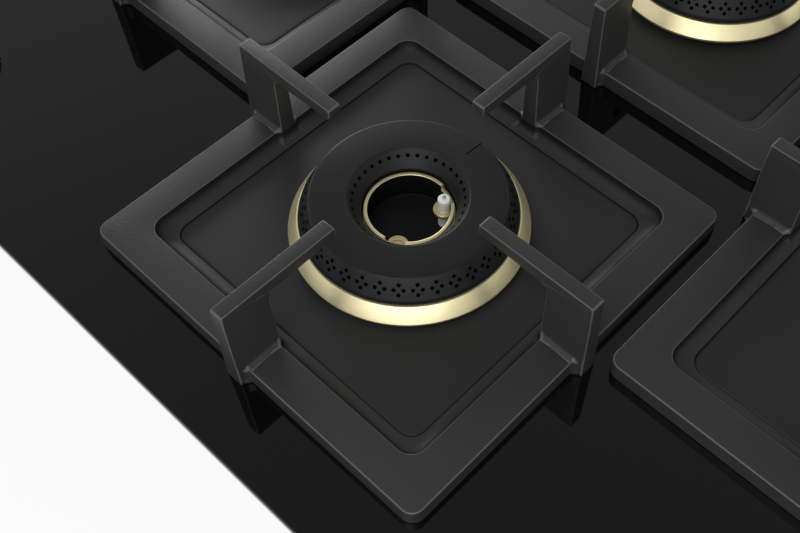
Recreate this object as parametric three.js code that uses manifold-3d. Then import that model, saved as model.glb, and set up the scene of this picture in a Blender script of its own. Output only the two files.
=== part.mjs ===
// Built-in gas cooktop: a black glass top with four double-ring burners in a diamond, each under a
// square cast pan support with four cantilever arms round an enamelled spill tray.
// Millimetres, +X to the cook's right, +Y to the back, +Z up, origin under the middle of the base box.
import * as THREE from 'three';
import { mergeVertices } from 'three/addons/utils/BufferGeometryUtils.js';
import Module from 'manifold-3d';

const wasm = await Module();
wasm.setup();

// ---------- clearances ----------
const seatGap = 0.3; // between pieces that rest on each other
const runGap = 0.4; // round a piece that slides or turns inside another
const overcut = 1; // how far a cutting body runs past the face it opens
const blend = 0.5; // how far joined bodies run into each other

// ---------- facets ----------
const crownFacets = 18;
const crownPhase = 4.4; // degrees, puts two port clusters on each facet
const chamberFacets = 12;
const cupFacets = 12;
const ringFacets = 14;
const knobFacets = 16;
const boreFacets = 8;
const pipeFacets = 6;
const bendSteps = 3;
const cornerSteps = 2;
const glassCornerSteps = 3;
const coveSteps = 3;

const degrees = Math.PI / 180;

// The radius at which the flats of a faceted round stand, from the radius of its corners.
const flats = (radius, facets) => radius * Math.cos(Math.PI / facets);
// The corner radius of a faceted round whose flats stand at a radius.
const corners = (radius, facets) => radius / Math.cos(Math.PI / facets);

// ---------- glass top, seal and base box ----------
const glassWidth = 760;
const glassDepth = 520;
const glassThickness = 6;
const glassCornerRadius = 14;
const glassBevel = 1.2;
const boxWidth = 700;
const boxDepth = 470;
const boxHeight = 48;
const boxSheet = 1.2;
const boxFlange = 9;
const boxCornerRadius = 16;
const boxDraft = 4; // how far the box wall leans in towards its floor
const ventLength = 60;
const ventWidth = 7;
const ventPitch = 18;
const ventCount = 4;
const sealWidth = 10;
const sealThickness = 3;
const sealInset = 3; // from the glass's edge
const sealInnerRadius = 2;

const glassUnderside = boxHeight + seatGap;
const glassTop = glassUnderside + glassThickness;
const boxFloor = boxSheet + seatGap; // where the pieces inside the box stand

// ---------- pan supports, heights from the glass ----------
const centreSupportSide = 210; // front and rear
const outerSupportSide = 232.6; // left and right
const supportGapAcross = 9.5; // between neighbours in the middle row
const supportGapDeep = 32.6; // between the front and the rear support
const rimHeight = 9.5;
const rimWidth = 18.2; // flat of the rim
const coveWidth = 7.3; // from the rim's inner shoulder to the foot of the cove
const coveDrop = 6;
const rimEdge = 1.2; // softened outer edge
const rimDraft = 0.5;
const rimCornerRadius = 6.5;
const coveCornerRadius = 8;

const armHeight = 52.6; // from the glass to the pan
const armThickness = 7.1;
const armRootThickness = 9.3;
const armProud = 3.7; // how far the arm stands out beyond the rim
const armLean = 0.8; // extra reach of its outer face at the glass
const armTipRadius = 46.2; // from the burner's axis to the arm's inner end
const armRootFillet = 3;
const webWidth = 20; // from the rim's side to the web's inner edge
const fingerDepth = 7.4; // at the web
const fingerTipDepth = 6;
const fingerFillet = 4;
const tipRound = 2;

// ---------- spill tray ----------
const trayHeight = rimHeight - coveDrop;
const traySheet = 1.2;
const trayEdge = 0.5;

// ---------- burner, heights from the glass ----------
const crownTop = 29;
const crownTopOuter = 45.8;
const crownTopInner = 28.3;
const crownRimRadius = 52;
const portBandFoot = 51.3;
const portBandFootHeight = 19;
const crownBore = 22.2;
const innerConeFootHeight = 21;
const crownWall = 2.6;
const crownLipRadius = 49.6;
const clustersPerFacet = 2;
const clusterHeight = 23.8; // middle of a cluster of four ports, which share one mouth
const clusterHalfWidth = 2.5;
const clusterHalfHeight = 2.7;
const clusterDepth = 1.7;
const clusterCorners = 4;

const cupFlangeRadius = 52;
const cupFlangeThickness = 2.2;
const cupWallTop = 12;
const cupWallOuter = 49;
const cupWallInner = 46;
const ledgeTop = 10; // carries the crown's inner wall
const ledgeOuter = 27;
const wellRadius = 20.4;
const wellWallOuter = flats(crownBore, crownFacets) - seatGap;
const wellWallTop = 15;
const wellFloor = 4;
const throatRadius = 40; // where the cup passes through the glass
const throatGap = 1.5;
const cupWall = 3;
const cupDraftTop = -9; // the cup narrows from here down
const cupBottom = -36;
const cupBottomRadius = 36;
const inletHeight = -26;
const inletRadius = 8;
const inletBore = 5;
const inletReach = 46;

const skirtOuter = 57.3;
const skirtOuterHeight = 9;
const skirtTopHeight = 16.3;
const skirtWall = 1.7;
const skirtFootOuter = 51.8;

const innerRingOuter = 21.2;
const innerRingWall = 1.8;
const innerRingTop = 19.8;
const innerRingStep = 17.2;
const notchDepth = 10;

// Angles in degrees from +X.
const electrodeAngle = 54.7;
const electrodeNotchAngle = 67;
const electrodeNotchHalf = 16.5;
const sensorAngle = -64.6;
const sensorNotchAngle = -64.6;
const sensorNotchHalf = 14.3;

const probeRadius = 16.6; // both probes stand this far from the burner's axis
const probeBottom = -41;
const collarRadius = 5;
const collarThickness = 1.8;
const collarSlotDepth = 8; // of the slot for it in the well's wall, from the probe's axis outwards
const electrodeSeat = 12.9; // floor of its counterbore
const electrodeRadius = 3.05;
const electrodeTip = 22.4;
const sparkPinRadius = 0.8;
const sparkPinHeight = 1.4;
const sensorSeat = 10.6; // floor of its counterbore
const sensorRadius = 2.4;
const sensorShoulder = 0.4; // inner edge of the collar round the sensor's end
const sensorTipDrop = 0.6;

// ---------- taps and knobs ----------
const knobSpacing = 56;
const innerKnobX = 270;
const tapSetback = 35; // from the box's front wall to the taps' axes
const knobY = tapSetback - boxDepth / 2;
const knobRadius = 19;
const knobTopRadius = 17.6;
const knobHeight = 24;
const knobWall = 2.5;
const knobEdge = 1.2;
const knobClearance = 4.5; // between the glass and the knob at rest
const pressTravel = 3.5;
const gripWidth = 6.4;
const gripHeight = 5;
const stemRadius = 4;
const stemHoleRadius = 6.5;
const stemEngagement = 14;
const stemFlat = 2; // from the stem's axis to its flat
const tongueThickness = 2.6;
const tongueLength = 9;
const tapBodyWidth = 24;
const tapBodyDepth = 24;
const tapBodyBottom = 9;
const tapBodyTop = 40;
const plugRadiusTop = 8;
const plugRadiusBottom = 6.4;
const plugLength = 24;
const plugSink = 1; // the plug's top below the body's
const outletRadius = 6;
const outletLength = 7;

// ---------- gas pipes and ignition ----------
const pipeRadius = 4;
const pipeBend = 14; // from the corner of a bend to its ends
const rearLane = -90; // where the rear burner's pipe crosses behind the front burner's
const railRadius = 8;
const railHeight = 20;
const railOverhang = 2; // past the outer taps
const railFootWidth = 16;
const supplyRadius = 6.5;
const supplyX = 150;
const unionRadius = 10.4;
const unionLength = 15;
const unionHexRadius = 13;
const unionHexLength = 7;
const unionSetback = 2; // from the box wall to the hexagon
const moduleWidth = 74;
const moduleDepth = 46;
const moduleHeight = 27;
const moduleX = -190;
const moduleSetback = 12; // from the box's rear wall
const moduleY = boxDepth / 2 - moduleSetback - moduleDepth / 2;
const terminalCount = 4;
const terminalPitch = 16;
const terminalRadius = 3.2;
const terminalHeight = 7;
const glandX = -260;
const glandHeight = 20;
const glandRadius = 7;
const glandBore = 4.5;
const glandLength = 15;
const glandNutRadius = 10;
const glandNutLength = 5;

// ---------- materials ----------
function material(color, roughness, metalness) {
  return new THREE.MeshStandardMaterial({ color, roughness, metalness });
}

const blackGlass = () => material(0x1b1b1c, 0.08, 0);
const castIron = () => material(0x3b3b3c, 0.75, 0.2);
const enamel = () => material(0x3f3f40, 0.6, 0.1);
const blackCap = () => material(0x262627, 0.55, 0.1);
const brass = () => material(0xd9cfa2, 0.32, 1);
const rawCasting = () => material(0x55565a, 0.6, 0.8);
const ceramic = () => material(0xf2f2ef, 0.3, 0);
const steel = () => material(0x9a9b9d, 0.4, 0.9);
const zincSheet = () => material(0x8d9093, 0.5, 0.8);
const aluminium = () => material(0xb4b6b8, 0.45, 0.9);
const rubber = () => material(0x1c1c1c, 0.9, 0);
const plastic = () => material(0x202022, 0.5, 0);

// ---------- solids ----------
function toSolid(geometry) {
  const bare = geometry.index ? geometry.toNonIndexed() : geometry.clone();
  bare.deleteAttribute('normal');
  bare.deleteAttribute('uv');
  const merged = mergeVertices(bare, 1e-4);
  const kept = [];
  const index = merged.index.array;
  for (let i = 0; i < index.length; i += 3) {
    const [a, b, c] = [index[i], index[i + 1], index[i + 2]];
    if (a !== b && b !== c && c !== a) kept.push(a, b, c);
  }
  const mesh = new wasm.Mesh({
    numProp: 3,
    vertProperties: new Float32Array(merged.attributes.position.array),
    triVerts: new Uint32Array(kept),
  });
  return new wasm.Manifold(mesh);
}

function toGeometry(solid) {
  const mesh = solid.getMesh();
  const geometry = new THREE.BufferGeometry();
  geometry.setAttribute('position', new THREE.BufferAttribute(new Float32Array(mesh.vertProperties), 3));
  geometry.setIndex(new THREE.BufferAttribute(new Uint32Array(mesh.triVerts), 1));
  const flat = geometry.toNonIndexed();
  flat.computeVertexNormals();
  return flat;
}

function cut(solid, ...tools) {
  return tools.reduce((rest, tool) => rest.subtract(tool), solid);
}

function join(first, ...others) {
  return others.reduce((sum, other) => sum.add(other), first);
}

// A profile of [radius, height] pairs turned round Z. It starts and ends on the axis, or is a closed loop.
function turned(profile, facets, phase = 0) {
  const points = profile.map(([radius, height]) => new THREE.Vector2(radius, height));
  const onAxis = profile[0][0] === 0;
  if (!onAxis) points.push(points[0].clone());
  const geometry = new THREE.LatheGeometry(points, facets, phase * degrees, 2 * Math.PI);
  geometry.rotateX(Math.PI / 2);
  return toSolid(geometry);
}

function rod(radius, from, to, facets) {
  return turned([[0, from], [radius, from], [radius, to], [0, to]], facets);
}

function box(width, depth, height, x, y, bottom) {
  const geometry = new THREE.BoxGeometry(width, depth, height);
  geometry.translate(x, y, bottom + height / 2);
  return toSolid(geometry);
}

// A ring of points round a rectangle with rounded corners, at one height.
function roundedLoop(halfX, halfY, radius, height, steps = cornerSteps) {
  const points = [];
  const quadrants = [[1, 1], [-1, 1], [-1, -1], [1, -1]];
  quadrants.forEach(([signX, signY], quadrant) => {
    for (let i = 0; i <= steps; i += 1) {
      const angle = (quadrant + i / steps) * 90 * degrees;
      const x = signX * (halfX - radius) + radius * Math.cos(angle);
      const y = signY * (halfY - radius) + radius * Math.sin(angle);
      points.push(new THREE.Vector3(x, y, height));
    }
  });
  return points;
}

// Skins a stack of loops with equal counts. An open stack is capped; a ring stack joins end to start.
function lofted(loops, ring = false) {
  const count = loops[0].length;
  const positions = loops.flat().flatMap((point) => [point.x, point.y, point.z]);
  const index = [];
  const lastStep = ring ? loops.length : loops.length - 1;
  for (let level = 0; level < lastStep; level += 1) {
    const low = level * count;
    const high = ((level + 1) % loops.length) * count;
    for (let i = 0; i < count; i += 1) {
      const next = (i + 1) % count;
      index.push(low + i, low + next, high + next, low + i, high + next, high + i);
    }
  }
  if (!ring) {
    const top = (loops.length - 1) * count;
    for (let i = 1; i < count - 1; i += 1) {
      index.push(0, i + 1, i);
      index.push(top, top + i, top + i + 1);
    }
  }
  const geometry = new THREE.BufferGeometry();
  geometry.setAttribute('position', new THREE.Float32BufferAttribute(positions, 3));
  geometry.setIndex(index);
  return toSolid(geometry);
}

// An outline in the X-Z plane, extruded along Y about Y = 0.
function upright(outline, thickness) {
  const shape = new THREE.Shape(outline.map(([x, z]) => new THREE.Vector2(x, z)));
  const geometry = new THREE.ExtrudeGeometry(shape, { depth: thickness, bevelEnabled: false });
  geometry.translate(0, 0, -thickness / 2);
  geometry.rotateX(Math.PI / 2);
  return geometry;
}

function arc(centreX, centreZ, radius, from, to, steps) {
  const points = [];
  for (let i = 0; i <= steps; i += 1) {
    const angle = (from + ((to - from) * i) / steps) * degrees;
    points.push([centreX + radius * Math.cos(angle), centreZ + radius * Math.sin(angle)]);
  }
  return points;
}

// A path whose equal steps fall on its points, each with the mean direction of its two stretches.
class StepPath extends THREE.Curve {
  constructor(points) {
    super();
    this.points = points;
  }

  getPoint(t, target = new THREE.Vector3()) {
    const place = t * (this.points.length - 1);
    const before = Math.min(Math.floor(place), this.points.length - 2);
    return target.lerpVectors(this.points[before], this.points[before + 1], place - before);
  }

  getPointAt(t, target) {
    return this.getPoint(t, target);
  }

  getTangentAt(t, target = new THREE.Vector3()) {
    const last = this.points.length - 1;
    const here = Math.round(t * last);
    const stretch = (from) => this.points[from + 1].clone().sub(this.points[from]).normalize();
    const arriving = stretch(Math.max(here - 1, 0));
    const leaving = stretch(Math.min(here, last - 1));
    return target.copy(arriving).add(leaving).normalize();
  }
}

// The points of a level line through the given corners, each corner rounded in equal steps.
function bentLine(turns, bend, height) {
  const spots = turns.map(([x, y]) => new THREE.Vector3(x, y, height));
  const points = [spots[0]];
  for (let i = 1; i < spots.length - 1; i += 1) {
    const towards = (other) => spots[i].clone().add(other.clone().sub(spots[i]).setLength(bend));
    const curve = new THREE.QuadraticBezierCurve3(towards(spots[i - 1]), spots[i], towards(spots[i + 1]));
    points.push(...curve.getPoints(bendSteps));
  }
  points.push(spots[spots.length - 1]);
  return points;
}

function tube(points, radius, facets) {
  const section = [];
  for (let i = 0; i < facets; i += 1) {
    const angle = ((i + 0.5) / facets) * 2 * Math.PI;
    section.push(new THREE.Vector2(radius * Math.cos(angle), radius * Math.sin(angle)));
  }
  const sweep = { steps: points.length - 1, extrudePath: new StepPath(points) };
  return toSolid(new THREE.ExtrudeGeometry(new THREE.Shape(section), sweep));
}

// ---------- where things stand ----------
const besideX = (centreSupportSide + outerSupportSide) / 2 + supportGapAcross;
const behindY = (centreSupportSide + supportGapDeep) / 2;
const outerKnobX = innerKnobX + knobSpacing;
const throatHoleRadius = throatRadius + throatGap;
const skirtFoot = trayHeight + seatGap + cupFlangeThickness + seatGap;
const plugFloor = tapBodyTop - plugLength;
const plugTop = tapBodyTop - plugSink;
const knobBottom = glassTop + knobClearance;
const stemTop = knobBottom + stemEngagement;
const gasLevel = glassTop + inletHeight; // of the burners' inlets, the pipes and the taps' outlets
const railY = knobY - tapBodyDepth / 2 - seatGap - railRadius;
const supplyHeight = boxFloor + unionHexRadius;
const rearWall = boxDepth / 2 - boxDraft - boxSheet; // inner face of the box's rear wall at its foot

const stations = [
  { name: 'front', x: 0, y: -behindY, side: centreSupportSide, inlet: 0, tapX: innerKnobX, lane: -behindY },
  { name: 'right', x: besideX, y: 0, side: outerSupportSide, inlet: 0, tapX: outerKnobX, lane: 0 },
  { name: 'rear', x: 0, y: behindY, side: centreSupportSide, inlet: 180, tapX: -innerKnobX, lane: rearLane },
  { name: 'left', x: -besideX, y: 0, side: outerSupportSide, inlet: 180, tapX: -outerKnobX, lane: 0 },
];

// ---------- glass, seal and box ----------
function buildGlass() {
  const bevelled = (inset, height) => roundedLoop(
    glassWidth / 2 - inset,
    glassDepth / 2 - inset,
    glassCornerRadius - inset,
    height,
    glassCornerSteps,
  );
  const plate = lofted([
    bevelled(glassBevel, glassUnderside),
    bevelled(0, glassUnderside + glassBevel),
    bevelled(0, glassTop - glassBevel),
    bevelled(glassBevel, glassTop),
  ]);
  const hole = (radius, facets) => rod(radius, glassUnderside - overcut, glassTop + overcut, facets);
  const burnerHoles = stations.map(({ x, y }) => hole(throatHoleRadius, cupFacets).translate([x, y, 0]));
  const stemHoles = stations.map(({ tapX }) => hole(stemHoleRadius, boreFacets).translate([tapX, knobY, 0]));
  return cut(plate, ...burnerHoles, ...stemHoles);
}

function buildSeal() {
  const top = glassUnderside - seatGap;
  const bottom = top - sealThickness;
  const loop = (inset, radius, height) =>
    roundedLoop(glassWidth / 2 - inset, glassDepth / 2 - inset, radius, height);
  const outerRadius = glassCornerRadius - sealInset;
  const inner = sealInset + sealWidth;
  return lofted([
    loop(sealInset, outerRadius, bottom),
    loop(sealInset, outerRadius, top),
    loop(inner, sealInnerRadius, top),
    loop(inner, sealInnerRadius, bottom),
  ], true);
}

function buildBox() {
  const loop = (grow, height) =>
    roundedLoop(boxWidth / 2 + grow, boxDepth / 2 + grow, boxCornerRadius + grow, height);
  const pan = lofted([
    loop(-boxDraft, 0),
    loop(0, boxHeight - boxSheet),
    loop(boxFlange, boxHeight - boxSheet),
    loop(boxFlange, boxHeight),
    loop(-boxSheet, boxHeight),
    loop(-boxDraft - boxSheet, boxSheet),
  ]);
  const vents = [];
  for (let i = 0; i < ventCount; i += 1) {
    const x = (i - (ventCount - 1) / 2) * ventPitch;
    vents.push(box(ventWidth, ventLength, boxSheet + 2 * overcut, x, 0, -overcut));
  }
  const outside = boxDepth / 2 + overcut;
  const wallHole = (radius, x, height) => rod(radius + runGap, rearWall - overcut, outside, boreFacets)
    .rotate([-90, 0, 0])
    .translate([x, 0, height]);
  return cut(
    pan,
    ...vents,
    wallHole(unionRadius, supplyX, supplyHeight),
    wallHole(glandRadius, glandX, glandHeight),
  );
}

// ---------- pan support ----------
function buildRim(side) {
  const half = side / 2;
  const foot = half - rimWidth - coveWidth;
  const outer = (inset, height) => roundedLoop(half - inset, half - inset, rimCornerRadius - inset, height);
  const inner = (reach, height) => roundedLoop(reach, reach, coveCornerRadius, height);
  const cove = [];
  for (let i = 0; i <= coveSteps; i += 1) {
    const angle = (i / coveSteps) * 90 * degrees;
    cove.push(inner(foot + coveWidth * Math.cos(angle), rimHeight - coveDrop * Math.sin(angle)));
  }
  return lofted([
    outer(0, seatGap),
    outer(rimDraft, rimHeight - rimEdge),
    outer(rimDraft + rimEdge, rimHeight),
    ...cove,
    inner(foot, seatGap),
  ], true);
}

// Half the arm's thickness at a height: it grows evenly from the pan down to the glass.
function armHalf(height) {
  const fall = (armHeight - height) / armHeight;
  return (armThickness + fall * (armRootThickness - armThickness)) / 2;
}

// One arm, pointing along +X from the burner's axis at the origin.
function buildArm(side) {
  const half = side / 2;
  const outer = half + armProud;
  const web = half - webWidth;
  const under = armHeight - fingerDepth;
  const tipUnder = armHeight - fingerTipDepth;
  const outline = [
    [outer + armLean, seatGap],
    [outer, armHeight],
    [armTipRadius, armHeight],
    ...arc(armTipRadius + tipRound, tipUnder + tipRound, tipRound, 180, 270, 1),
    ...arc(web - fingerFillet, under - fingerFillet, fingerFillet, 90, 0, 2),
    [web, trayHeight],
    [half - rimEdge, trayHeight],
    [half - rimEdge, seatGap],
  ];
  const geometry = upright(outline, 2);
  const position = geometry.attributes.position;
  for (let i = 0; i < position.count; i += 1) {
    position.setY(i, position.getY(i) * armHalf(position.getZ(i)));
  }
  return join(toSolid(geometry), buildArmRoot(half));
}

// The fillets along both sides of the arm's root, as one wedge across the rim's flat.
function buildArmRoot(half) {
  const top = rimHeight + armRootFillet;
  const bottom = rimHeight - blend;
  const topHalf = armHalf(top) - blend / 2;
  const bottomHalf = armHalf(rimHeight) + armRootFillet + blend;
  const wedge = new THREE.Shape([
    new THREE.Vector2(-bottomHalf, bottom),
    new THREE.Vector2(bottomHalf, bottom),
    new THREE.Vector2(topHalf, top),
    new THREE.Vector2(-topHalf, top),
  ]);
  const length = rimWidth - rimDraft - rimEdge;
  const geometry = new THREE.ExtrudeGeometry(wedge, { depth: length, bevelEnabled: false });
  geometry.rotateX(Math.PI / 2);
  geometry.rotateZ(Math.PI / 2);
  geometry.translate(half - rimWidth, 0, 0);
  return toSolid(geometry);
}

function buildSupport(side) {
  const arm = buildArm(side);
  const arms = [0, 90, 180, 270].map((angle) => arm.rotate([0, 0, angle]));
  return join(buildRim(side), ...arms);
}

// ---------- spill tray ----------
function buildTray(side) {
  const reach = side / 2 - rimWidth - coveWidth - seatGap;
  const loop = (inset, height) => roundedLoop(reach - inset, reach - inset, coveCornerRadius - inset, height);
  const plate = lofted([
    loop(0, seatGap),
    loop(0, trayHeight - trayEdge),
    loop(trayEdge, trayHeight),
  ]);
  const hollow = lofted([
    loop(traySheet, seatGap - overcut),
    loop(traySheet, trayHeight - traySheet),
  ]);
  const hole = rod(throatHoleRadius, -overcut, trayHeight + overcut, cupFacets);
  return cut(plate, hollow, hole);
}

// ---------- burner ----------
function probePlace(angle) {
  return [probeRadius * Math.cos(angle * degrees), probeRadius * Math.sin(angle * degrees)];
}

// The gas enters the ring-shaped chamber round the middle column, which holds the well and both probes.
function buildCup(inletAngle) {
  const flangeBottom = trayHeight + seatGap;
  const flangeTop = flangeBottom + cupFlangeThickness;
  const body = turned([
    [0, cupBottom],
    [cupBottomRadius, cupBottom],
    [throatRadius, cupDraftTop],
    [throatRadius, flangeBottom],
    [cupFlangeRadius, flangeBottom],
    [cupFlangeRadius, flangeTop],
    [cupWallOuter, flangeTop],
    [cupWallOuter, cupWallTop],
    [cupWallInner, cupWallTop],
    [cupWallInner, flangeTop],
    [throatRadius - cupWall, flangeTop],
    [cupBottomRadius - cupWall, cupBottom + cupWall],
    [ledgeOuter, cupBottom + cupWall],
    [ledgeOuter, ledgeTop],
    [wellWallOuter, ledgeTop],
    [wellWallOuter, wellWallTop],
    [wellRadius, wellWallTop],
    [wellRadius, wellFloor],
    [0, wellFloor],
  ], cupFacets);
  const sideways = (solid) => solid.rotate([0, 90, 0]).rotate([0, 0, inletAngle]).translate([0, 0, inletHeight]);
  const inlet = rod(inletRadius, cupBottomRadius - cupWall / 2, inletReach, boreFacets);
  const bore = rod(inletBore, ledgeOuter + blend, inletReach + overcut, boreFacets);
  const probeHole = (angle, radius, seat) => join(
    rod(radius + runGap, cupBottom - overcut, wellFloor + overcut, boreFacets).translate([probeRadius, 0, 0]),
    box(collarSlotDepth, 2 * (collarRadius + runGap), wellWallTop, probeRadius + collarSlotDepth / 2, 0, seat),
  ).rotate([0, 0, angle]);
  return cut(
    join(body, sideways(inlet)),
    sideways(bore),
    probeHole(electrodeAngle, electrodeRadius, electrodeSeat),
    probeHole(sensorAngle, sensorRadius, sensorSeat),
  );
}

function buildSkirt() {
  const bore = corners(cupWallOuter + runGap, crownFacets);
  return turned([
    [bore, skirtFoot],
    [skirtFootOuter, skirtFoot],
    [skirtOuter - skirtWall / 2, skirtOuterHeight - skirtWall],
    [skirtOuter, skirtOuterHeight],
    [crownRimRadius + seatGap, skirtTopHeight],
    [bore, skirtTopHeight],
  ], crownFacets, crownPhase);
}

// The port clusters on the crown's outer flank: each is a pit that tapers to a point inside the wall.
function buildClusters() {
  const pit = turned([[0, -clusterDepth], [2, clusterDepth], [0, clusterDepth]], clusterCorners)
    .scale([clusterHalfHeight, clusterHalfWidth, 1]);
  const rise = crownTop - portBandFootHeight;
  const share = (clusterHeight - portBandFootHeight) / rise;
  const distance = flats(portBandFoot + share * (crownTopOuter - portBandFoot), crownFacets);
  const tilt = Math.atan2(rise, flats(portBandFoot - crownTopOuter, crownFacets)) / degrees;
  const facetAngle = 360 / crownFacets;
  const pits = [];
  for (let facet = 0; facet < crownFacets; facet++) {
    for (let i = 0; i < clustersPerFacet; i++) {
      const aside = facetAngle * ((i + 0.5) / clustersPerFacet - 0.5);
      const place = [distance, distance * Math.tan(aside * degrees), clusterHeight];
      const turn = crownPhase + facetAngle * (facet + 0.5);
      pits.push(pit.rotate([0, tilt, 0]).translate(place).rotate([0, 0, turn]));
    }
  }
  return join(...pits);
}

function buildCrown() {
  const lip = cupWallTop + seatGap;
  const innerFoot = ledgeTop + seatGap;
  const overhang = skirtTopHeight + seatGap;
  const innerWall = crownBore + crownWall;
  const outerWall = crownLipRadius - crownWall;
  const casting = turned([
    [crownLipRadius, lip],
    [crownLipRadius, overhang],
    [crownRimRadius, overhang],
    [portBandFoot, portBandFootHeight],
    [crownTopOuter, crownTop],
    [crownTopInner, crownTop],
    [crownBore, innerConeFootHeight],
    [crownBore, innerFoot],
    [innerWall, innerFoot],
    [innerWall, lip],
  ], crownFacets, crownPhase);
  const chamber = turned([
    [corners(innerWall, chamberFacets), lip - overcut],
    [outerWall, lip - overcut],
    [outerWall, portBandFootHeight],
    [crownTopOuter - crownWall / 2, crownTop - crownWall],
    [crownTopInner + crownWall / 2, crownTop - crownWall],
    [corners(innerWall, chamberFacets), innerConeFootHeight],
  ], chamberFacets);
  return cut(casting, chamber, buildClusters());
}

function buildInnerRing() {
  const foot = wellWallTop + seatGap;
  const bore = innerRingOuter - innerRingWall;
  const ring = turned([
    [bore, foot],
    [wellWallOuter, foot],
    [wellWallOuter, innerRingStep],
    [innerRingOuter, innerRingStep],
    [innerRingOuter, innerRingTop],
    [bore, innerRingTop],
  ], ringFacets);
  const notch = (angle, halfAngle) => {
    const width = 2 * innerRingOuter * Math.sin(halfAngle * degrees);
    return box(notchDepth, width, notchDepth, innerRingOuter, 0, innerRingStep).rotate([0, 0, angle]);
  };
  const electrodeHole = rod(electrodeRadius + runGap, foot - overcut, innerRingTop + overcut, boreFacets)
    .translate([...probePlace(electrodeAngle), 0]);
  return cut(
    ring,
    electrodeHole,
    notch(electrodeNotchAngle, electrodeNotchHalf),
    notch(sensorNotchAngle, sensorNotchHalf),
  );
}

function buildElectrode() {
  const collarFoot = electrodeSeat + seatGap;
  const collarTop = collarFoot + collarThickness;
  return turned([
    [0, probeBottom],
    [electrodeRadius, probeBottom],
    [electrodeRadius, collarFoot],
    [collarRadius, collarFoot],
    [collarRadius, collarTop],
    [electrodeRadius, collarTop],
    [electrodeRadius, electrodeTip],
    [sparkPinRadius, electrodeTip],
    [sparkPinRadius, electrodeTip + sparkPinHeight],
    [0, electrodeTip + sparkPinHeight],
  ], boreFacets);
}

function buildSensor() {
  const collarFoot = sensorSeat + seatGap;
  const collarTop = collarFoot + collarThickness;
  return turned([
    [0, probeBottom],
    [sensorRadius, probeBottom],
    [sensorRadius, collarFoot],
    [collarRadius, collarFoot],
    [collarRadius, collarTop],
    [sensorRadius + sensorShoulder, collarTop],
    [sensorRadius, collarTop - sensorTipDrop],
    [0, collarTop - sensorTipDrop],
  ], boreFacets);
}

// ---------- tap and knob, about the tap's own axis ----------
function buildTapBody() {
  const block = box(tapBodyWidth, tapBodyDepth, tapBodyTop - tapBodyBottom, 0, 0, tapBodyBottom);
  const boreTop = corners(plugRadiusTop + runGap, boreFacets);
  const boreBottom = corners(plugRadiusBottom + runGap, boreFacets);
  const bore = turned([
    [0, plugFloor],
    [boreBottom, plugFloor],
    [boreTop, plugTop],
    [boreTop, tapBodyTop + overcut],
    [0, tapBodyTop + overcut],
  ], boreFacets);
  const outlet = rod(outletRadius, 0, tapBodyDepth / 2 + outletLength, boreFacets)
    .rotate([-90, 0, 0])
    .translate([0, 0, gasLevel]);
  return cut(join(block, outlet), bore);
}

function buildPlug() {
  const foot = plugFloor + seatGap;
  const cone = turned([
    [0, foot],
    [plugRadiusBottom, foot],
    [plugRadiusTop, plugTop],
    [0, plugTop],
  ], boreFacets);
  const slotDepth = tongueLength + pressTravel + seatGap;
  const slotWidth = tongueThickness + 2 * runGap;
  const slot = box(2 * plugRadiusTop + overcut, slotWidth, slotDepth + overcut, 0, 0, plugTop - slotDepth);
  return cut(cone, slot);
}

function buildStem() {
  const shoulder = plugTop + pressTravel + seatGap;
  const tongueBottom = plugTop - tongueLength;
  const shaft = rod(stemRadius, shoulder, stemTop, boreFacets);
  const tongue = box(2 * stemRadius, tongueThickness, shoulder + blend - tongueBottom, 0, 0, tongueBottom);
  const flatY = stemFlat + stemRadius / 2;
  const flat = box(2 * stemRadius + overcut, stemRadius, stemEngagement + overcut, 0, flatY, knobBottom);
  return cut(join(shaft, tongue), flat);
}

function buildKnob() {
  const top = knobBottom + knobHeight;
  const shell = turned([
    [0, knobBottom],
    [knobRadius, knobBottom],
    [knobTopRadius, top - knobEdge],
    [knobTopRadius - knobEdge, top],
    [0, top],
  ], knobFacets);
  const hubRadius = stemRadius + runGap + knobWall;
  const hollow = turned([
    [hubRadius, knobBottom - overcut],
    [knobRadius - knobWall, knobBottom - overcut],
    [knobTopRadius - knobWall, stemTop],
    [hubRadius, stemTop],
  ], boreFacets);
  const socket = rod(stemRadius + runGap, knobBottom - overcut, stemTop + seatGap, boreFacets);
  const cheek = (side) => {
    const y = side * (gripWidth / 2 + knobRadius / 2);
    return box(2 * knobRadius, knobRadius, gripHeight + overcut, 0, y, top - gripHeight);
  };
  return cut(shell, hollow, socket, cheek(1), cheek(-1));
}

// ---------- gas and spark ----------
function buildRail() {
  const reach = outerKnobX + tapBodyWidth / 2 + railOverhang;
  const bar = rod(railRadius, -reach, reach, boreFacets)
    .rotate([0, 90, 0])
    .translate([0, railY, railHeight]);
  const supply = rod(supplyRadius, railY, rearWall - unionSetback - unionHexLength, boreFacets)
    .rotate([-90, 0, 0])
    .translate([supplyX, 0, supplyHeight]);
  const footX = outerKnobX - knobSpacing / 2;
  const feet = [-footX, 0, footX].map((x) =>
    box(railFootWidth, railRadius, railHeight - boxFloor, x, railY, boxFloor));
  return join(bar, supply, ...feet);
}

function buildUnion() {
  const length = unionHexLength + unionLength;
  const body = turned([
    [0, 0],
    [unionHexRadius, 0],
    [unionHexRadius, unionHexLength],
    [unionRadius, unionHexLength],
    [unionRadius, length],
    [0, length],
  ], boreFacets);
  const passage = rod(supplyRadius, unionHexLength, length + overcut, boreFacets);
  return cut(body, passage)
    .rotate([-90, 0, 0])
    .translate([supplyX, rearWall - unionSetback - unionHexLength + seatGap, supplyHeight]);
}

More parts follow.
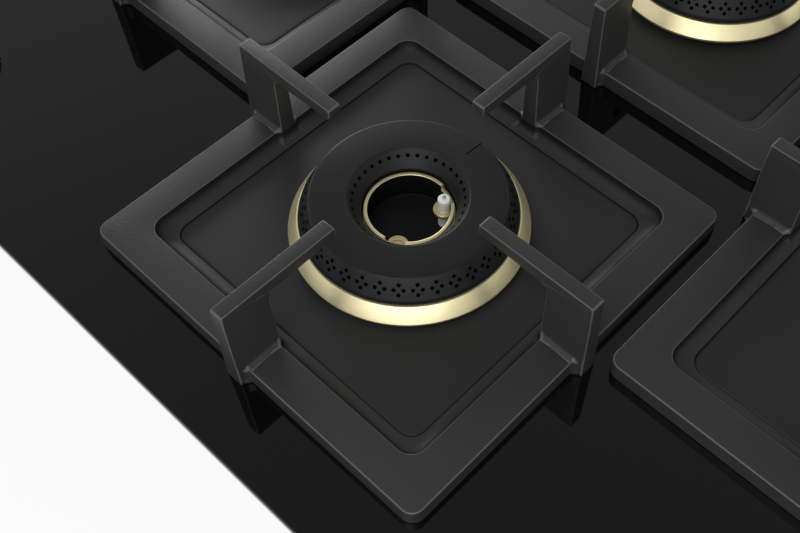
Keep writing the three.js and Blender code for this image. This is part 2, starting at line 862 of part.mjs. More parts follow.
function buildModule() {
  const block = box(moduleWidth, moduleDepth, moduleHeight, moduleX, moduleY, boxFloor);
  const lid = boxFloor + moduleHeight;
  const terminals = [];
  for (let i = 0; i < terminalCount; i += 1) {
    const x = moduleX + (i - (terminalCount - 1) / 2) * terminalPitch;
    terminals.push(rod(terminalRadius, lid - blend, lid + terminalHeight, pipeFacets)
      .translate([x, moduleY - moduleDepth / 4, 0]));
  }
  return join(block, ...terminals);
}

function buildGland() {
  const body = turned([
    [0, -glandNutLength],
    [glandNutRadius, -glandNutLength],
    [glandNutRadius, 0],
    [glandRadius, 0],
    [glandRadius, glandLength - glandNutLength],
    [0, glandLength - glandNutLength],
  ], boreFacets);
  const passage = rod(glandBore, -glandNutLength - overcut, glandLength, boreFacets);
  return cut(body, passage)
    .rotate([-90, 0, 0])
    .translate([glandX, rearWall - seatGap, glandHeight]);
}

function buildFeedPipe(station) {
  const startY = knobY + tapBodyDepth / 2 + outletLength + seatGap;
  const side = station.inlet === 0 ? 1 : -1;
  const endX = station.x + side * (inletReach + seatGap);
  const turns = [[station.tapX, startY], [station.tapX, station.lane]];
  if (station.lane !== station.y) {
    const riseX = endX + side * 3 * pipeBend;
    turns.push([riseX, station.lane], [riseX, station.y]);
  }
  turns.push([endX, station.y]);
  return tube(bentLine(turns, pipeBend, gasLevel), pipeRadius, pipeFacets);
}

// ---------- assembly ----------
const cooktop = new THREE.Group();

function addNode(name, solid, finish, x = 0, y = 0, height = 0) {
  const mesh = new THREE.Mesh(toGeometry(solid), finish());
  mesh.name = name;
  mesh.position.set(x, y, height);
  cooktop.add(mesh);
}

addNode('glass_top', buildGlass(), blackGlass);
addNode('glass_seal', buildSeal(), rubber);
addNode('base_box', buildBox(), zincSheet);
addNode('gas_rail', buildRail(), steel);
addNode('gas_inlet', buildUnion(), brass);
addNode('ignition_module', buildModule(), plastic);
addNode('mains_gland', buildGland(), plastic);

for (const station of stations) {
  const { name, x, y, side, inlet, tapX } = station;
  const [electrodeX, electrodeY] = probePlace(electrodeAngle);
  const [sensorX, sensorY] = probePlace(sensorAngle);
  addNode(`burner_cup_${name}`, buildCup(inlet), rawCasting, x, y, glassTop);
  addNode(`skirt_ring_${name}`, buildSkirt(), brass, x, y, glassTop);
  addNode(`burner_crown_${name}`, buildCrown(), blackCap, x, y, glassTop);
  addNode(`inner_ring_${name}`, buildInnerRing(), brass, x, y, glassTop);
  addNode(`spark_electrode_${name}`, buildElectrode(), ceramic, x + electrodeX, y + electrodeY, glassTop);
  addNode(`thermocouple_${name}`, buildSensor(), brass, x + sensorX, y + sensorY, glassTop);
  addNode(`spill_tray_${name}`, buildTray(side), enamel, x, y, glassTop);
  addNode(`pan_support_${name}`, buildSupport(side), castIron, x, y, glassTop);
  addNode(`feed_pipe_${name}`, buildFeedPipe(station), aluminium);
  addNode(`tap_body_${name}`, buildTapBody(), aluminium, tapX, knobY);
  addNode(`tap_plug_${name}`, buildPlug(), brass, tapX, knobY);
  addNode(`tap_stem_${name}`, buildStem(), steel, tapX, knobY);
  addNode(`knob_${name}`, buildKnob(), blackCap, tapX, knobY);
}

export default cooktop;
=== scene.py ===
from math import acos, atan2, cos, degrees, inf, pi, radians, sin, sqrt, tan

import bmesh
import bpy
from mathutils import Euler, Matrix, Vector, geometry


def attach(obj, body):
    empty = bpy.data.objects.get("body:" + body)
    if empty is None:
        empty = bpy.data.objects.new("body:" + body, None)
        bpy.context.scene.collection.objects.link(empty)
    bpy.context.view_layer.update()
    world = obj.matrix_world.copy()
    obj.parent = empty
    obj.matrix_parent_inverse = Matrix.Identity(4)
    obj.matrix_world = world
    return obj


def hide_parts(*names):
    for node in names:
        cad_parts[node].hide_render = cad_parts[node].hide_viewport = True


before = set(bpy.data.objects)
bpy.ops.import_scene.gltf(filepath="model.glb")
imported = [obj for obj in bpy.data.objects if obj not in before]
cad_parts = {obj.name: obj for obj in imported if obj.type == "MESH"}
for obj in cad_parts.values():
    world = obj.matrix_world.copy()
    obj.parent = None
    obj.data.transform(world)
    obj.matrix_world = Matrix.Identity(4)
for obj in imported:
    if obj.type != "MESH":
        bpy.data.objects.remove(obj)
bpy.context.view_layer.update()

mm = 0.001
fullTurn = 2 * pi
glassTop = 54.3  # heights of burners, trays and supports are counted from here
tapY = -200
centreSide, outerSide = 210, 232.6
stations = [  # name, centre x and y, side of the support, its tap's x
    ("front", 0, -121.3, centreSide, 270),
    ("right", 230.8, 0, outerSide, 326),
    ("rear", 0, 121.3, centreSide, -270),
    ("left", -230.8, 0, outerSide, -326),
]


# mesh helpers; points are in millimetres until a mesh is made

def linked(name, data):
    obj = bpy.data.objects.new(name, data)
    bpy.context.scene.collection.objects.link(obj)
    return obj


def smoothed(mesh, sharp):
    mesh.polygons.foreach_set("use_smooth", [True] * len(mesh.polygons))
    mesh.set_sharp_from_angle(angle=radians(sharp))
    mesh.update()


def makeObject(name, verts, faces, materials, sharp=32, slots=None, recalc=True):
    mesh = bpy.data.meshes.new(name)
    mesh.from_pydata([Vector(v) * mm for v in verts], [], faces)
    for finish in materials:
        mesh.materials.append(finish)
    if slots:
        mesh.polygons.foreach_set("material_index", slots)
    if recalc:
        work = bmesh.new()
        work.from_mesh(mesh)
        bmesh.ops.remove_doubles(work, verts=work.verts, dist=1e-7)
        bmesh.ops.recalc_face_normals(work, faces=work.faces)
        work.to_mesh(mesh)
        work.free()
    smoothed(mesh, sharp)
    return linked(name, mesh)


def onCircle(radius, angle, x=0.0, y=0.0):
    return x + radius * cos(angle), y + radius * sin(angle)


def circle(radius, steps, x=0.0, y=0.0):
    return [onCircle(radius, fullTurn * s / steps, x, y) for s in range(steps)]


def closedPairs(loop):
    return list(zip(loop, loop[1:] + loop[:1]))


def filleted(corners, steps, closed=True):
    # (x, z, radius) corners of an outline, each rounded by its radius
    sideShare = 0.49  # of a side, the most that a rounding takes
    count = len(corners)
    line = []
    for i, (x, z, radius) in enumerate(corners):
        here = Vector((x, z))
        if radius <= 0 or (not closed and i in (0, count - 1)):
            line.append(here)
            continue
        back = Vector(corners[i - 1][:2]) - here
        ahead = Vector(corners[(i + 1) % count][:2]) - here
        room = sideShare * min(back.length, ahead.length)
        back.normalize()
        ahead.normalize()
        half = acos(max(-1, min(1, back.dot(ahead)))) / 2
        if abs(half - pi / 2) < 1e-3:  # the sides run on straight
            line.append(here)
            continue
        reach = min(radius / tan(half), room)
        radius = reach * tan(half)
        centre = here + (back + ahead).normalized() * (radius / sin(half))
        first, last = here + back * reach - centre, here + ahead * reach - centre
        sweep = first.angle_signed(last)
        for step in range(steps + 1):
            turn = -sweep * step / steps
            line.append(centre + Vector((
                first.x * cos(turn) - first.y * sin(turn),
                first.x * sin(turn) + first.y * cos(turn))))
    return line


def quarterSteps(steps):
    return [radians(90 * i / steps) for i in range(steps + 1)]


def roundedEdge(radius, steps):
    # (inset, drop) of a rounded edge, from its side up to its top
    return [(radius * (1 - cos(a)), radius * (1 - sin(a))) for a in quarterSteps(steps)]


def ringLoop(halfX, halfY, radius, z, steps):
    # a rounded rectangle, its corners one after the other
    points = []
    for quadrant, (sx, sy) in enumerate(((1, 1), (-1, 1), (-1, -1), (1, -1))):
        for i in range(steps + 1):
            a = (quadrant + i / steps) * pi / 2
            points.append((*onCircle(radius, a, sx * (halfX - radius), sy * (halfY - radius)), z))
    return points


def loftFaces(rows, count, ring):
    faces = []
    for i in range(rows if ring else rows - 1):
        j = (i + 1) % rows
        for s in range(count):
            t = (s + 1) % count
            faces.append((i * count + s, i * count + t, j * count + t, j * count + s))
    return faces


def loft(name, loops, materials, ring=True, sharp=32, innerSlot=0):
    # the faces that close each loop take the inner slot
    count = len(loops[0])
    faces = loftFaces(len(loops), count, ring)
    slots = [innerSlot if i % count == count - 1 else 0 for i in range(len(faces))]
    if not ring:
        faces.append(tuple(reversed(range(count))))
        faces.append(tuple(range((len(loops) - 1) * count, len(loops) * count)))
        slots += [0, 0]
    return makeObject(name, sum(loops, []), faces, materials, sharp, slots)


def lathe(name, corners, segments, finish, steps=4, sharp=32):
    # turns the outline of some corners round Z: a closed loop, or a line from axis to axis
    closed = corners[0][0] > 0
    profile = filleted(corners, steps, closed)
    verts = [(*p, z) for r, z in profile for p in circle(r, segments)]
    return makeObject(name, verts, loftFaces(len(profile), segments, closed), [finish], sharp)


def moved(obj, x, y, z):
    obj.data.transform(Matrix.Translation(Vector((x, y, z)) * mm))
    return obj


def copied(source, name, x, y, z=0.0):
    mesh = source.data.copy()
    mesh.name = name
    return moved(linked(name, mesh), x, y, z)


def discard(obj):
    mesh = obj.data
    bpy.data.objects.remove(obj)
    if mesh.users == 0:
        bpy.data.meshes.remove(mesh)


def merged(name, parts):
    # one mesh from several objects, their materials kept
    finishes = []
    work = bmesh.new()
    for part in parts:
        table = []
        for finish in part.data.materials:
            if finish not in finishes:
                finishes.append(finish)
            table.append(finishes.index(finish))
        start = len(work.faces)
        work.from_mesh(part.data)
        work.faces.ensure_lookup_table()
        for face in work.faces[start:]:
            face.material_index = table[face.material_index]
    mesh = bpy.data.meshes.new(name)
    work.to_mesh(mesh)
    work.free()
    for finish in finishes:
        mesh.materials.append(finish)
    for part in parts:
        discard(part)
    smoothed(mesh, 40)
    return linked(name, mesh)


# node helpers, for shader groups, materials and geometry node trees alike

def newTree(name, kind, inputs, outputs):
    # inputs are (label, kind of socket, first value), outputs (label, kind of socket)
    tree = bpy.data.node_groups.new(name, kind)
    for label, socketKind, value in inputs:
        socket = tree.interface.new_socket(label, in_out="INPUT", socket_type="NodeSocket" + socketKind)
        if value is not None:
            socket.default_value = value
    for label, socketKind in outputs:
        tree.interface.new_socket(label, in_out="OUTPUT", socket_type="NodeSocket" + socketKind)
    return tree, tree.nodes.new("NodeGroupInput").outputs, tree.nodes.new("NodeGroupOutput").inputs


def addNode(tree, kind, inputs=None, **settings):
    # an input is a value, or the socket that feeds it
    node = tree.nodes.new(kind)
    for key, value in settings.items():
        setattr(node, key, value)
    for key, value in (inputs or {}).items():
        if hasattr(value, "is_output"):
            tree.links.new(value, node.inputs[key])
        elif value is not None:
            node.inputs[key].default_value = value
    return node


def maths(tree, operation, first, second=None, third=None, clamp=False):
    inputs = {0: first, 1: second, 2: third}
    return addNode(tree, "ShaderNodeMath", inputs, operation=operation, use_clamp=clamp).outputs[0]


def fromParts(tree, **parts):
    return addNode(tree, "ShaderNodeCombineXYZ", parts).outputs[0]


def noise(tree, vector, scale, detail, roughness):
    return addNode(tree, "ShaderNodeTexNoise", {
        "Vector": vector, "Scale": scale, "Detail": detail, "Roughness": roughness}).outputs["Fac"]


# fine cast or moulded grain: two sizes of noise and a sparse pitting
grainTree, gIn, gOut = newTree("fineGrain", "ShaderNodeTree", [
    ("Vector", "Vector", None), ("Grain Scale", "Float", 1400.0), ("Mottle Scale", "Float", 60.0),
    ("Mottle Share", "Float", 0.4)], [("Height", "Float"), ("Mottle", "Float")])
pitReach, pitShare = 0.35, 0.6  # how wide the pits are and how deep
fineNoise = noise(grainTree, gIn["Vector"], gIn["Grain Scale"], 3.0, 0.6)
wideNoise = noise(grainTree, gIn["Vector"], gIn["Mottle Scale"], 4.0, 0.55)
pits = addNode(grainTree, "ShaderNodeTexVoronoi", {
    "Vector": gIn["Vector"], "Scale": gIn["Grain Scale"]}, feature="F1")
pitMask = maths(grainTree, "SUBTRACT", pitReach, pits.outputs["Distance"], clamp=True)
pitDepth = maths(grainTree, "MULTIPLY", pitMask, pitShare)
grainTree.links.new(maths(grainTree, "SUBTRACT", fineNoise, pitDepth), gOut["Height"])
mottle = maths(grainTree, "MULTIPLY_ADD", maths(grainTree, "SUBTRACT", wideNoise, 0.5),
               gIn["Mottle Share"], 0.5)
grainTree.links.new(mottle, gOut["Mottle"])

# lines brushed round an upright axis: noise stretched along the turn
brushTree, bIn, bOut = newTree("turnedBrushing", "ShaderNodeTree", [
    ("Vector", "Vector", None), ("Line Scale", "Float", 2600.0), ("Turn Scale", "Float", 5.0)],
    [("Height", "Float"), ("Streak", "Float")])
across, deep, high = addNode(brushTree, "ShaderNodeSeparateXYZ", {"Vector": bIn["Vector"]}).outputs
fromAxis = maths(brushTree, "SQRT", maths(
    brushTree, "ADD", maths(brushTree, "POWER", across, 2.0), maths(brushTree, "POWER", deep, 2.0)))
unrolled = fromParts(
    brushTree, X=maths(brushTree, "MULTIPLY", fromAxis, bIn["Line Scale"]),
    Y=maths(brushTree, "MULTIPLY", maths(brushTree, "ARCTAN2", deep, across), bIn["Turn Scale"]),
    Z=maths(brushTree, "MULTIPLY", high, bIn["Line Scale"]))
lines = noise(brushTree, unrolled, 1.0, 4.0, 0.65)
brushTree.links.new(lines, bOut["Height"])
streak = maths(brushTree, "MULTIPLY_ADD", lines, 1.6, -0.3, clamp=True)
brushTree.links.new(streak, bOut["Streak"])


# materials

def grey(level):
    return (level, level, level)


def startMaterial(name, **shader):
    finish = bpy.data.materials.new(name)
    finish.use_nodes = True
    tree = finish.node_tree
    base = tree.nodes["Principled BSDF"]
    for key, value in shader.items():
        base.inputs[key.replace("_", " ")].default_value = value
    return finish, tree, base


def objectCoords(tree):
    return addNode(tree, "ShaderNodeTexCoord").outputs["Object"]


def mixed(tree, share, first, second):
    # two colours, of which the first may be a socket
    first = first if hasattr(first, "is_output") else (*first, 1)
    inputs = {"Factor": share, "A": first, "B": (*second, 1)}
    return addNode(tree, "ShaderNodeMix", inputs, data_type="RGBA").outputs["Result"]


def ranged(tree, value, low, high):
    inputs = {"Value": value, "To Min": low, "To Max": high}
    return addNode(tree, "ShaderNodeMapRange", inputs).outputs["Result"]


def marked(tree, attribute):
    return addNode(tree, "ShaderNodeAttribute", attribute_name=attribute).outputs["Fac"]


def dressShader(tree, base, look, colour, mask, height):
    # colour, and the roughness and bump that follow the pattern
    tree.links.new(colour, base.inputs["Base Color"])
    tree.links.new(ranged(tree, mask, *look["rough"]), base.inputs["Roughness"])
    bump = addNode(tree, "ShaderNodeBump", {
        "Height": height, "Strength": look["bump"], "Distance": look["depth"]})
    tree.links.new(bump.outputs["Normal"], base.inputs["Normal"])


def grainMaterial(name, look, **shader):
    # matt or satin surface with fine grain: colour, roughness and bump all follow it
    finish, tree, base = startMaterial(name, **shader)
    grain = addNode(tree, "ShaderNodeGroup", {
        "Vector": objectCoords(tree), "Grain Scale": look["grain"], "Mottle Scale": look["mottle"],
        "Mottle Share": look["share"]}, node_tree=grainTree).outputs
    colour = mixed(tree, grain["Mottle"], look["dark"], look["light"])
    if "edgeHighlight" in look:  # painted highlight: the rounded outward edges are lightened where they catch the light
        colour = mixed(tree, marked(tree, "edge"), colour, look["edgeHighlight"])
    if "deep" in look:  # painted shade: the steep upper wall of a cove is darkened and dulled where shade falls in the recess
        paintedCoveShade = marked(tree, "paintedCoveShade")
        colour = mixed(tree, paintedCoveShade, colour, look["deep"])
        gloss = base.inputs["Specular IOR Level"]
        gloss.default_value = look["shine"]  # the socket's own value as well as the link; what the export keeps of the link
        tree.links.new(ranged(tree, paintedCoveShade, look["shine"], look["deepShine"]), gloss)
    dressShader(tree, base, look, colour, grain["Mottle"], grain["Height"])
    return finish


def brushedMaterial(name, look, x, y, **shader):
    # metal turned and brushed round a burner's axis
    finish, tree, base = startMaterial(name, **shader)
    place = addNode(tree, "ShaderNodeMapping", {
        "Vector": objectCoords(tree), "Location": (-x * mm, -y * mm, 0.0)})
    brush = addNode(tree, "ShaderNodeGroup", {
        "Vector": place.outputs["Vector"], "Line Scale": look["lines"], "Turn Scale": look["turn"]},
        node_tree=brushTree).outputs
    colour = mixed(tree, brush["Streak"], look["dark"], look["light"])
    dressShader(tree, base, look, colour, brush["Streak"], brush["Height"])
    return finish


# castIron's darkest colour is painted shade on the cove's upper wall, and its lightest a painted highlight
# on the rounded edges
castIron = grainMaterial("castIronEnamel", {
    "grain": 850, "mottle": 45, "share": 0.5, "dark": grey(0.026), "light": (0.032, 0.032, 0.0322),
    "edgeHighlight": grey(0.1), "deep": grey(0.011), "shine": 0.35, "deepShine": 0.12,
    "rough": (0.44, 0.52), "bump": 0.5, "depth": 0.0003})
trayEnamel = grainMaterial("trayEnamel", {
    "grain": 1900, "mottle": 30, "share": 0.4, "dark": grey(0.018), "light": (0.0225, 0.0225, 0.0227),
    "rough": (0.52, 0.6), "bump": 0.12, "depth": 0.0002}, Specular_IOR_Level=0.3)
crownEnamel = grainMaterial("crownEnamel", {
    "grain": 2300, "mottle": 80, "share": 0.4, "dark": grey(0.005), "light": (0.0066, 0.0066, 0.0067),
    "rough": (0.42, 0.5), "bump": 0.12, "depth": 0.00015}, Specular_IOR_Level=0.28)
# near-black burner cup casting, darkened further as painted shade for the deep well; it also paints shade on
# the inner ring's bore
wellShadeCasting = grainMaterial("wellShadeCasting", {
    "grain": 1600, "mottle": 120, "share": 0.6, "dark": grey(0.0018), "light": grey(0.0032),
    "rough": (0.5, 0.6), "bump": 0.15, "depth": 0.0002}, Specular_IOR_Level=0.25)
# painted shade: the near-black walls of the ports and the slot stand in for the shade inside them
portShade = grainMaterial("portShadeFinish", {
    "grain": 1800, "mottle": 200, "share": 0.5, "dark": grey(0.002), "light": grey(0.0045),
    "rough": (0.8, 0.92), "bump": 0.1, "depth": 0.0001}, Specular_IOR_Level=0.1)
ceramicGlaze = grainMaterial("ceramicGlaze", {
    "grain": 2600, "mottle": 300, "share": 0.5, "dark": (0.86, 0.85, 0.83), "light": (0.93, 0.925, 0.91),
    "rough": (0.22, 0.34), "bump": 0.05, "depth": 0.0001}, Coat_Weight=0.5, Coat_Roughness=0.12)
knobPlastic = grainMaterial("knobPlastic", {
    "grain": 2400, "mottle": 90, "share": 0.3, "dark": (0.016, 0.016, 0.0165),
    "light": (0.022, 0.022, 0.0225), "rough": (0.34, 0.42), "bump": 0.08, "depth": 0.00012})
sealRubber = grainMaterial("sealRubber", {
    "grain": 1300, "mottle": 60, "share": 0.5, "dark": grey(0.014), "light": grey(0.024),
    "rough": (0.75, 0.88), "bump": 0.35, "depth": 0.0003})
zincSheet = grainMaterial("zincSheet", {
    "grain": 260, "mottle": 38, "share": 0.9, "dark": (0.33, 0.34, 0.35), "light": (0.52, 0.53, 0.54),
    "rough": (0.36, 0.52), "bump": 0.06, "depth": 0.0003}, Metallic=0.9)
castAluminium = grainMaterial("castAluminium", {
    "grain": 1100, "mottle": 70, "share": 0.7, "dark": (0.4, 0.4, 0.41), "light": (0.58, 0.58, 0.59),
    "rough": (0.4, 0.55), "bump": 0.25, "depth": 0.0003}, Metallic=0.95)
drawnSteel = grainMaterial("drawnSteel", {
    "grain": 900, "mottle": 50, "share": 0.6, "dark": (0.4, 0.4, 0.41), "light": (0.55, 0.55, 0.56),
    "rough": (0.28, 0.4), "bump": 0.08, "depth": 0.0002}, Metallic=1.0)
mattPlastic = grainMaterial("mattPlastic", {
    "grain": 1500, "mottle": 70, "share": 0.4, "dark": (0.022, 0.022, 0.023),
    "light": (0.034, 0.034, 0.035), "rough": (0.5, 0.62), "bump": 0.2, "depth": 0.0002})
markPaint = grainMaterial("markPaint", {
    "grain": 2400, "mottle": 200, "share": 0.4, "dark": grey(0.62), "light": (0.75, 0.75, 0.74),
    "rough": (0.4, 0.5), "bump": 0.05, "depth": 0.0001})
plainBrass = grainMaterial("plainBrass", {
    "grain": 1200, "mottle": 60, "share": 0.6, "dark": (0.7, 0.58, 0.28), "light": (0.84, 0.72, 0.4),
    "rough": (0.36, 0.46), "bump": 0.1, "depth": 0.0002}, Metallic=0.85)
# black ceramic glass: nearly a black mirror, with a trace of haze from wiping
blackGlass = grainMaterial("blackGlass", {
    "grain": 35, "mottle": 9, "share": 0.8, "dark": grey(0.0006), "light": grey(0.0012),
    "rough": (0.03, 0.05), "bump": 0.01, "depth": 0.0005}, IOR=1.5)
brassLook = {"lines": 3200, "turn": 9, "dark": (0.78, 0.68, 0.38), "light": (0.95, 0.87, 0.56),
             "rough": (0.34, 0.44), "bump": 0.035, "depth": 0.0001}
brass = {name: brushedMaterial("brass_" + name, brassLook, x, y, Metallic=0.88)
         for name, x, y, _, _ in stations}
print("materials made")


# geometry node trees

def shapeTree(name, inputs):
    return newTree(name, "GeometryNodeTree", [("Geometry", "Geometry", None), *inputs],
                   [("Geometry", "Geometry")])


def joined(tree, *shapes):
    join = addNode(tree, "GeometryNodeJoinGeometry")
    for shape in shapes:
        tree.links.new(shape, join.inputs[0])
    return join.outputs[0]


def turned(tree, shape, turn, place=None):
    return addNode(tree, "GeometryNodeTransform", {
        "Geometry": shape, "Translation": place, "Rotation": turn}).outputs[0]


def spread(tree, shape, count, place=None, turn=None):
    # copies of a shape, each with its own place or turn
    points = addNode(tree, "GeometryNodePoints", {"Count": count, "Position": place})
    return addNode(tree, "GeometryNodeInstanceOnPoints", {
        "Points": points.outputs[0], "Instance": shape, "Rotation": turn}).outputs[0]


def turnedCopies(tree, shape, count, start):
    # copies of a shape at equal turns round the Z axis
    index = addNode(tree, "GeometryNodeInputIndex").outputs[0]
    angle = maths(tree, "MULTIPLY_ADD", index, maths(tree, "DIVIDE", fullTurn, count), start)
    return spread(tree, shape, count, turn=fromParts(tree, Z=angle))


def realized(tree, shape):
    return addNode(tree, "GeometryNodeRealizeInstances", {"Geometry": shape}).outputs[0]


def cutOut(tree, shape, tools):
    return addNode(tree, "GeometryNodeMeshBoolean", {"Mesh 1": shape, "Mesh 2": tools},
                   operation="DIFFERENCE", solver="EXACT").outputs[0]


def finishTree(tree, groupIn, groupOut, shape, selection=None):
    # every tree ends by making its copies real and giving them their finish
    coat = addNode(tree, "GeometryNodeSetMaterial", {
        "Geometry": realized(tree, shape), "Selection": selection, "Material": groupIn["Finish"]})
    tree.links.new(coat.outputs[0], groupOut[0])


def runNodes(obj, tree, values, name, sharp):
    # runs a tree on an object and keeps the result as a plain mesh
    modifier = obj.modifiers.new(tree.name, "NODES")
    modifier.node_group = tree
    sockets = {item.name: item.identifier for item in tree.interface.items_tree if item.in_out == "INPUT"}
    for label, value in values.items():
        modifier[sockets[label]] = value
    bpy.context.view_layer.update()
    graph = bpy.context.evaluated_depsgraph_get()
    mesh = bpy.data.meshes.new_from_object(obj.evaluated_get(graph))
    obj.modifiers.remove(modifier)
    mesh.name = name
    smoothed(mesh, sharp)
    discard(obj)
    return linked(name, mesh)


def armTree():
    # arms round a burner's axis, joined to the rim that carries them
    tree, aIn, aOut = shapeTree("armsRoundRim", [
        ("Arm Count", "Int", 4), ("Rim", "Object", None), ("Finish", "Material", None)])
    rim = addNode(tree, "GeometryNodeObjectInfo", {"Object": aIn["Rim"]})
    arms = turnedCopies(tree, aIn["Geometry"], aIn["Arm Count"], 0.0)
    finishTree(tree, aIn, aOut, joined(tree, arms, rim.outputs["Geometry"]))
    return tree


def portTree(clusters):
    # drills rings of round ports and one radial slot into a crown; their cut walls take a near-black finish,
    # painted shade inside the ports and slot
    tree, pIn, pOut = shapeTree("drilledPorts", [
        ("Port Count", "Int", 36), ("Port Radius", "Float", 0.0009), ("Port Sides", "Int", 14),
        ("Port Length", "Float", 0.012), ("Slot Size", "Vector", (0.0104, 0.0007, 0.003)),
        ("Slot Place", "Vector", (0.041, 0.0, 0.0285)), ("Slot Angle", "Float", 1.4975),
        ("Port Shade", "Material", None), ("Finish", "Material", None)])
    drill = addNode(tree, "GeometryNodeMeshCylinder", {
        "Vertices": pIn["Port Sides"], "Radius": pIn["Port Radius"],
        "Depth": pIn["Port Length"]}).outputs["Mesh"]
    tools = []
    for start, ports in clusters:
        drills = []
        for radius, height, aside, tilt in ports:
            lean = turned(tree, drill, Euler((0.0, tilt, 0.0)), (radius * mm, 0.0, height * mm))
            drills.append(turned(tree, lean, Euler((0.0, 0.0, radians(aside)))))
        tools.append(turnedCopies(tree, joined(tree, *drills), pIn["Port Count"], radians(start)))
    slot = addNode(tree, "GeometryNodeMeshCube", {"Size": pIn["Slot Size"]}).outputs[0]
    slotAt = turned(tree, slot, None, pIn["Slot Place"])
    tools.append(turned(tree, slotAt, fromParts(tree, Z=pIn["Slot Angle"])))
    shadeCutters = addNode(tree, "GeometryNodeSetMaterial", {
        "Geometry": realized(tree, joined(tree, *tools)), "Material": pIn["Port Shade"]}).outputs[0]
    drilled = cutOut(tree, pIn["Geometry"], shadeCutters)
    cut = addNode(tree, "GeometryNodeMaterialSelection", {"Material": pIn["Port Shade"]}).outputs[0]
    uncut = addNode(tree, "FunctionNodeBooleanMath", {0: cut}, operation="NOT").outputs[0]
    finishTree(tree, pIn, pOut, drilled, uncut)
    return tree


def ventTree():
    # a row of slots through the box's floor
    tree, vIn, vOut = shapeTree("ventSlots", [
        ("Vent Count", "Int", 4), ("Pitch", "Float", 0.018), ("Vent Size", "Vector", (0.007, 0.06, 0.006)),
        ("Finish", "Material", None)])
    count, pitch = vIn["Vent Count"], vIn["Pitch"]
    span = maths(tree, "MULTIPLY", maths(tree, "SUBTRACT", count, 1.0), pitch)
    index = addNode(tree, "GeometryNodeInputIndex").outputs[0]
    x = maths(tree, "SUBTRACT", maths(tree, "MULTIPLY", index, pitch), maths(tree, "MULTIPLY", span, 0.5))
    cutter = addNode(tree, "GeometryNodeMeshCube", {"Size": vIn["Vent Size"]}).outputs[0]
    tools = realized(tree, spread(tree, cutter, count, fromParts(tree, X=x)))
    finishTree(tree, vIn, vOut, cutOut(tree, vIn["Geometry"], tools))
    return tree


def threadTree():
    # rings of thread along a union
    tree, tIn, tOut = shapeTree("threadRings", [
        ("Ring Count", "Int", 9), ("Pitch", "Float", 0.0015), ("Ring Radius", "Float", 0.01),
        ("Ridge", "Float", 0.0004), ("Start", "Vector", (0.0, 0.0, 0.0)), ("Finish", "Material", None)])
    hoop = addNode(tree, "GeometryNodeCurvePrimitiveCircle", {
        "Resolution": 48, "Radius": tIn["Ring Radius"]})
    section = addNode(tree, "GeometryNodeCurvePrimitiveCircle", {
        "Resolution": 8, "Radius": tIn["Ridge"]})
    ridge = addNode(tree, "GeometryNodeCurveToMesh", {
        "Curve": hoop.outputs[0], "Profile Curve": section.outputs[0]}).outputs[0]
    upright = turned(tree, ridge, Euler((pi / 2, 0.0, 0.0)))
    index = addNode(tree, "GeometryNodeInputIndex").outputs[0]
    along = maths(tree, "MULTIPLY", index, tIn["Pitch"])
    place = addNode(tree, "ShaderNodeVectorMath", {
        0: fromParts(tree, Y=along), 1: tIn["Start"]}, operation="ADD").outputs[0]
    rings = spread(tree, upright, tIn["Ring Count"], place)
    finishTree(tree, tIn, tOut, joined(tree, tIn["Geometry"], rings))
    return tree


# glass top, seal and box

glass = {"width": 760, "depth": 520, "corner": 14, "edge": 1.2, "under": 48.3, "cornerSteps": 14,
         "burnerHole": (42.5, 96), "stemHole": (6.5, 40)}  # radius and steps of each hole


def buildGlass():
    eased = glass["edge"] + 0.05  # a thin flat strip holds the rounding's shading
    rounding = roundedEdge(glass["edge"], 4)
    rows = [(eased, glass["under"])] + [(drop, glass["under"] + inset) for inset, drop in rounding]
    rows += [(inset, glassTop - drop) for inset, drop in rounding] + [(eased, glassTop)]
    loops = [ringLoop(glass["width"] / 2 - inset, glass["depth"] / 2 - inset, glass["corner"] - inset, z,
                      glass["cornerSteps"]) for inset, z in rows]
    count = len(loops[0])
    verts = sum(loops, [])
    faces = loftFaces(len(loops), count, False)
    holes = [(x, y, *glass["burnerHole"]) for _, x, y, _, _ in stations]
    holes += [(tap, tapY, *glass["stemHole"]) for *_, tap in stations]
    flat = [Vector(p[:2]) for p in loops[-1]]
    outline = [(i, (i + 1) % count) for i in range(count)]
    for x, y, radius, steps in holes:
        start = len(flat)
        flat += [Vector(p) for p in circle(radius, steps, x, y)]
        outline += [(start + s, start + (s + 1) % steps) for s in range(steps)]
    points, _, triangles, _, _, _ = geometry.delaunay_2d_cdt(flat, outline, [], 1, 1e-6)

    def inHole(c):  # a little inside the chords of the holes
        return any((c.x - x) ** 2 + (c.y - y) ** 2 < (radius * (1 - 9 / steps ** 2)) ** 2
                   for x, y, radius, steps in holes)

    for z, flip in ((glassTop, False), (glass["under"], True)):
        base = len(verts)
        verts += [(p.x, p.y, z) for p in points]
        for triangle in triangles:
            if not inHole(sum((points[i] for i in triangle), Vector((0, 0))) / 3):
                faces.append(tuple(base + i for i in (reversed(triangle) if flip else triangle)))
    for x, y, radius, steps in holes:
        base = len(verts)
        verts += [(*p, z) for z in (glassTop, glass["under"]) for p in circle(radius, steps, x, y)]
        faces += [tuple(base + i for i in face) for face in loftFaces(2, steps, False)]
    return makeObject("glassPlate", verts, faces, [blackGlass], sharp=40)


seal = {"inset": 3, "width": 10, "thick": 3, "gap": 0.3, "outerCorner": 11, "innerCorner": 2}


def buildSeal():
    outer, inner = seal["inset"], seal["inset"] + seal["width"]
    top = glass["under"] - seal["gap"]
    low = top - seal["thick"]
    rows = [(outer, low, seal["outerCorner"]), (outer, top, seal["outerCorner"]),
            (inner, top, seal["innerCorner"]), (inner, low, seal["innerCorner"])]
    loops = [ringLoop(glass["width"] / 2 - inset, glass["depth"] / 2 - inset, radius, z, 8)
             for inset, z, radius in rows]
    return loft("foamSeal", loops, [sealRubber])


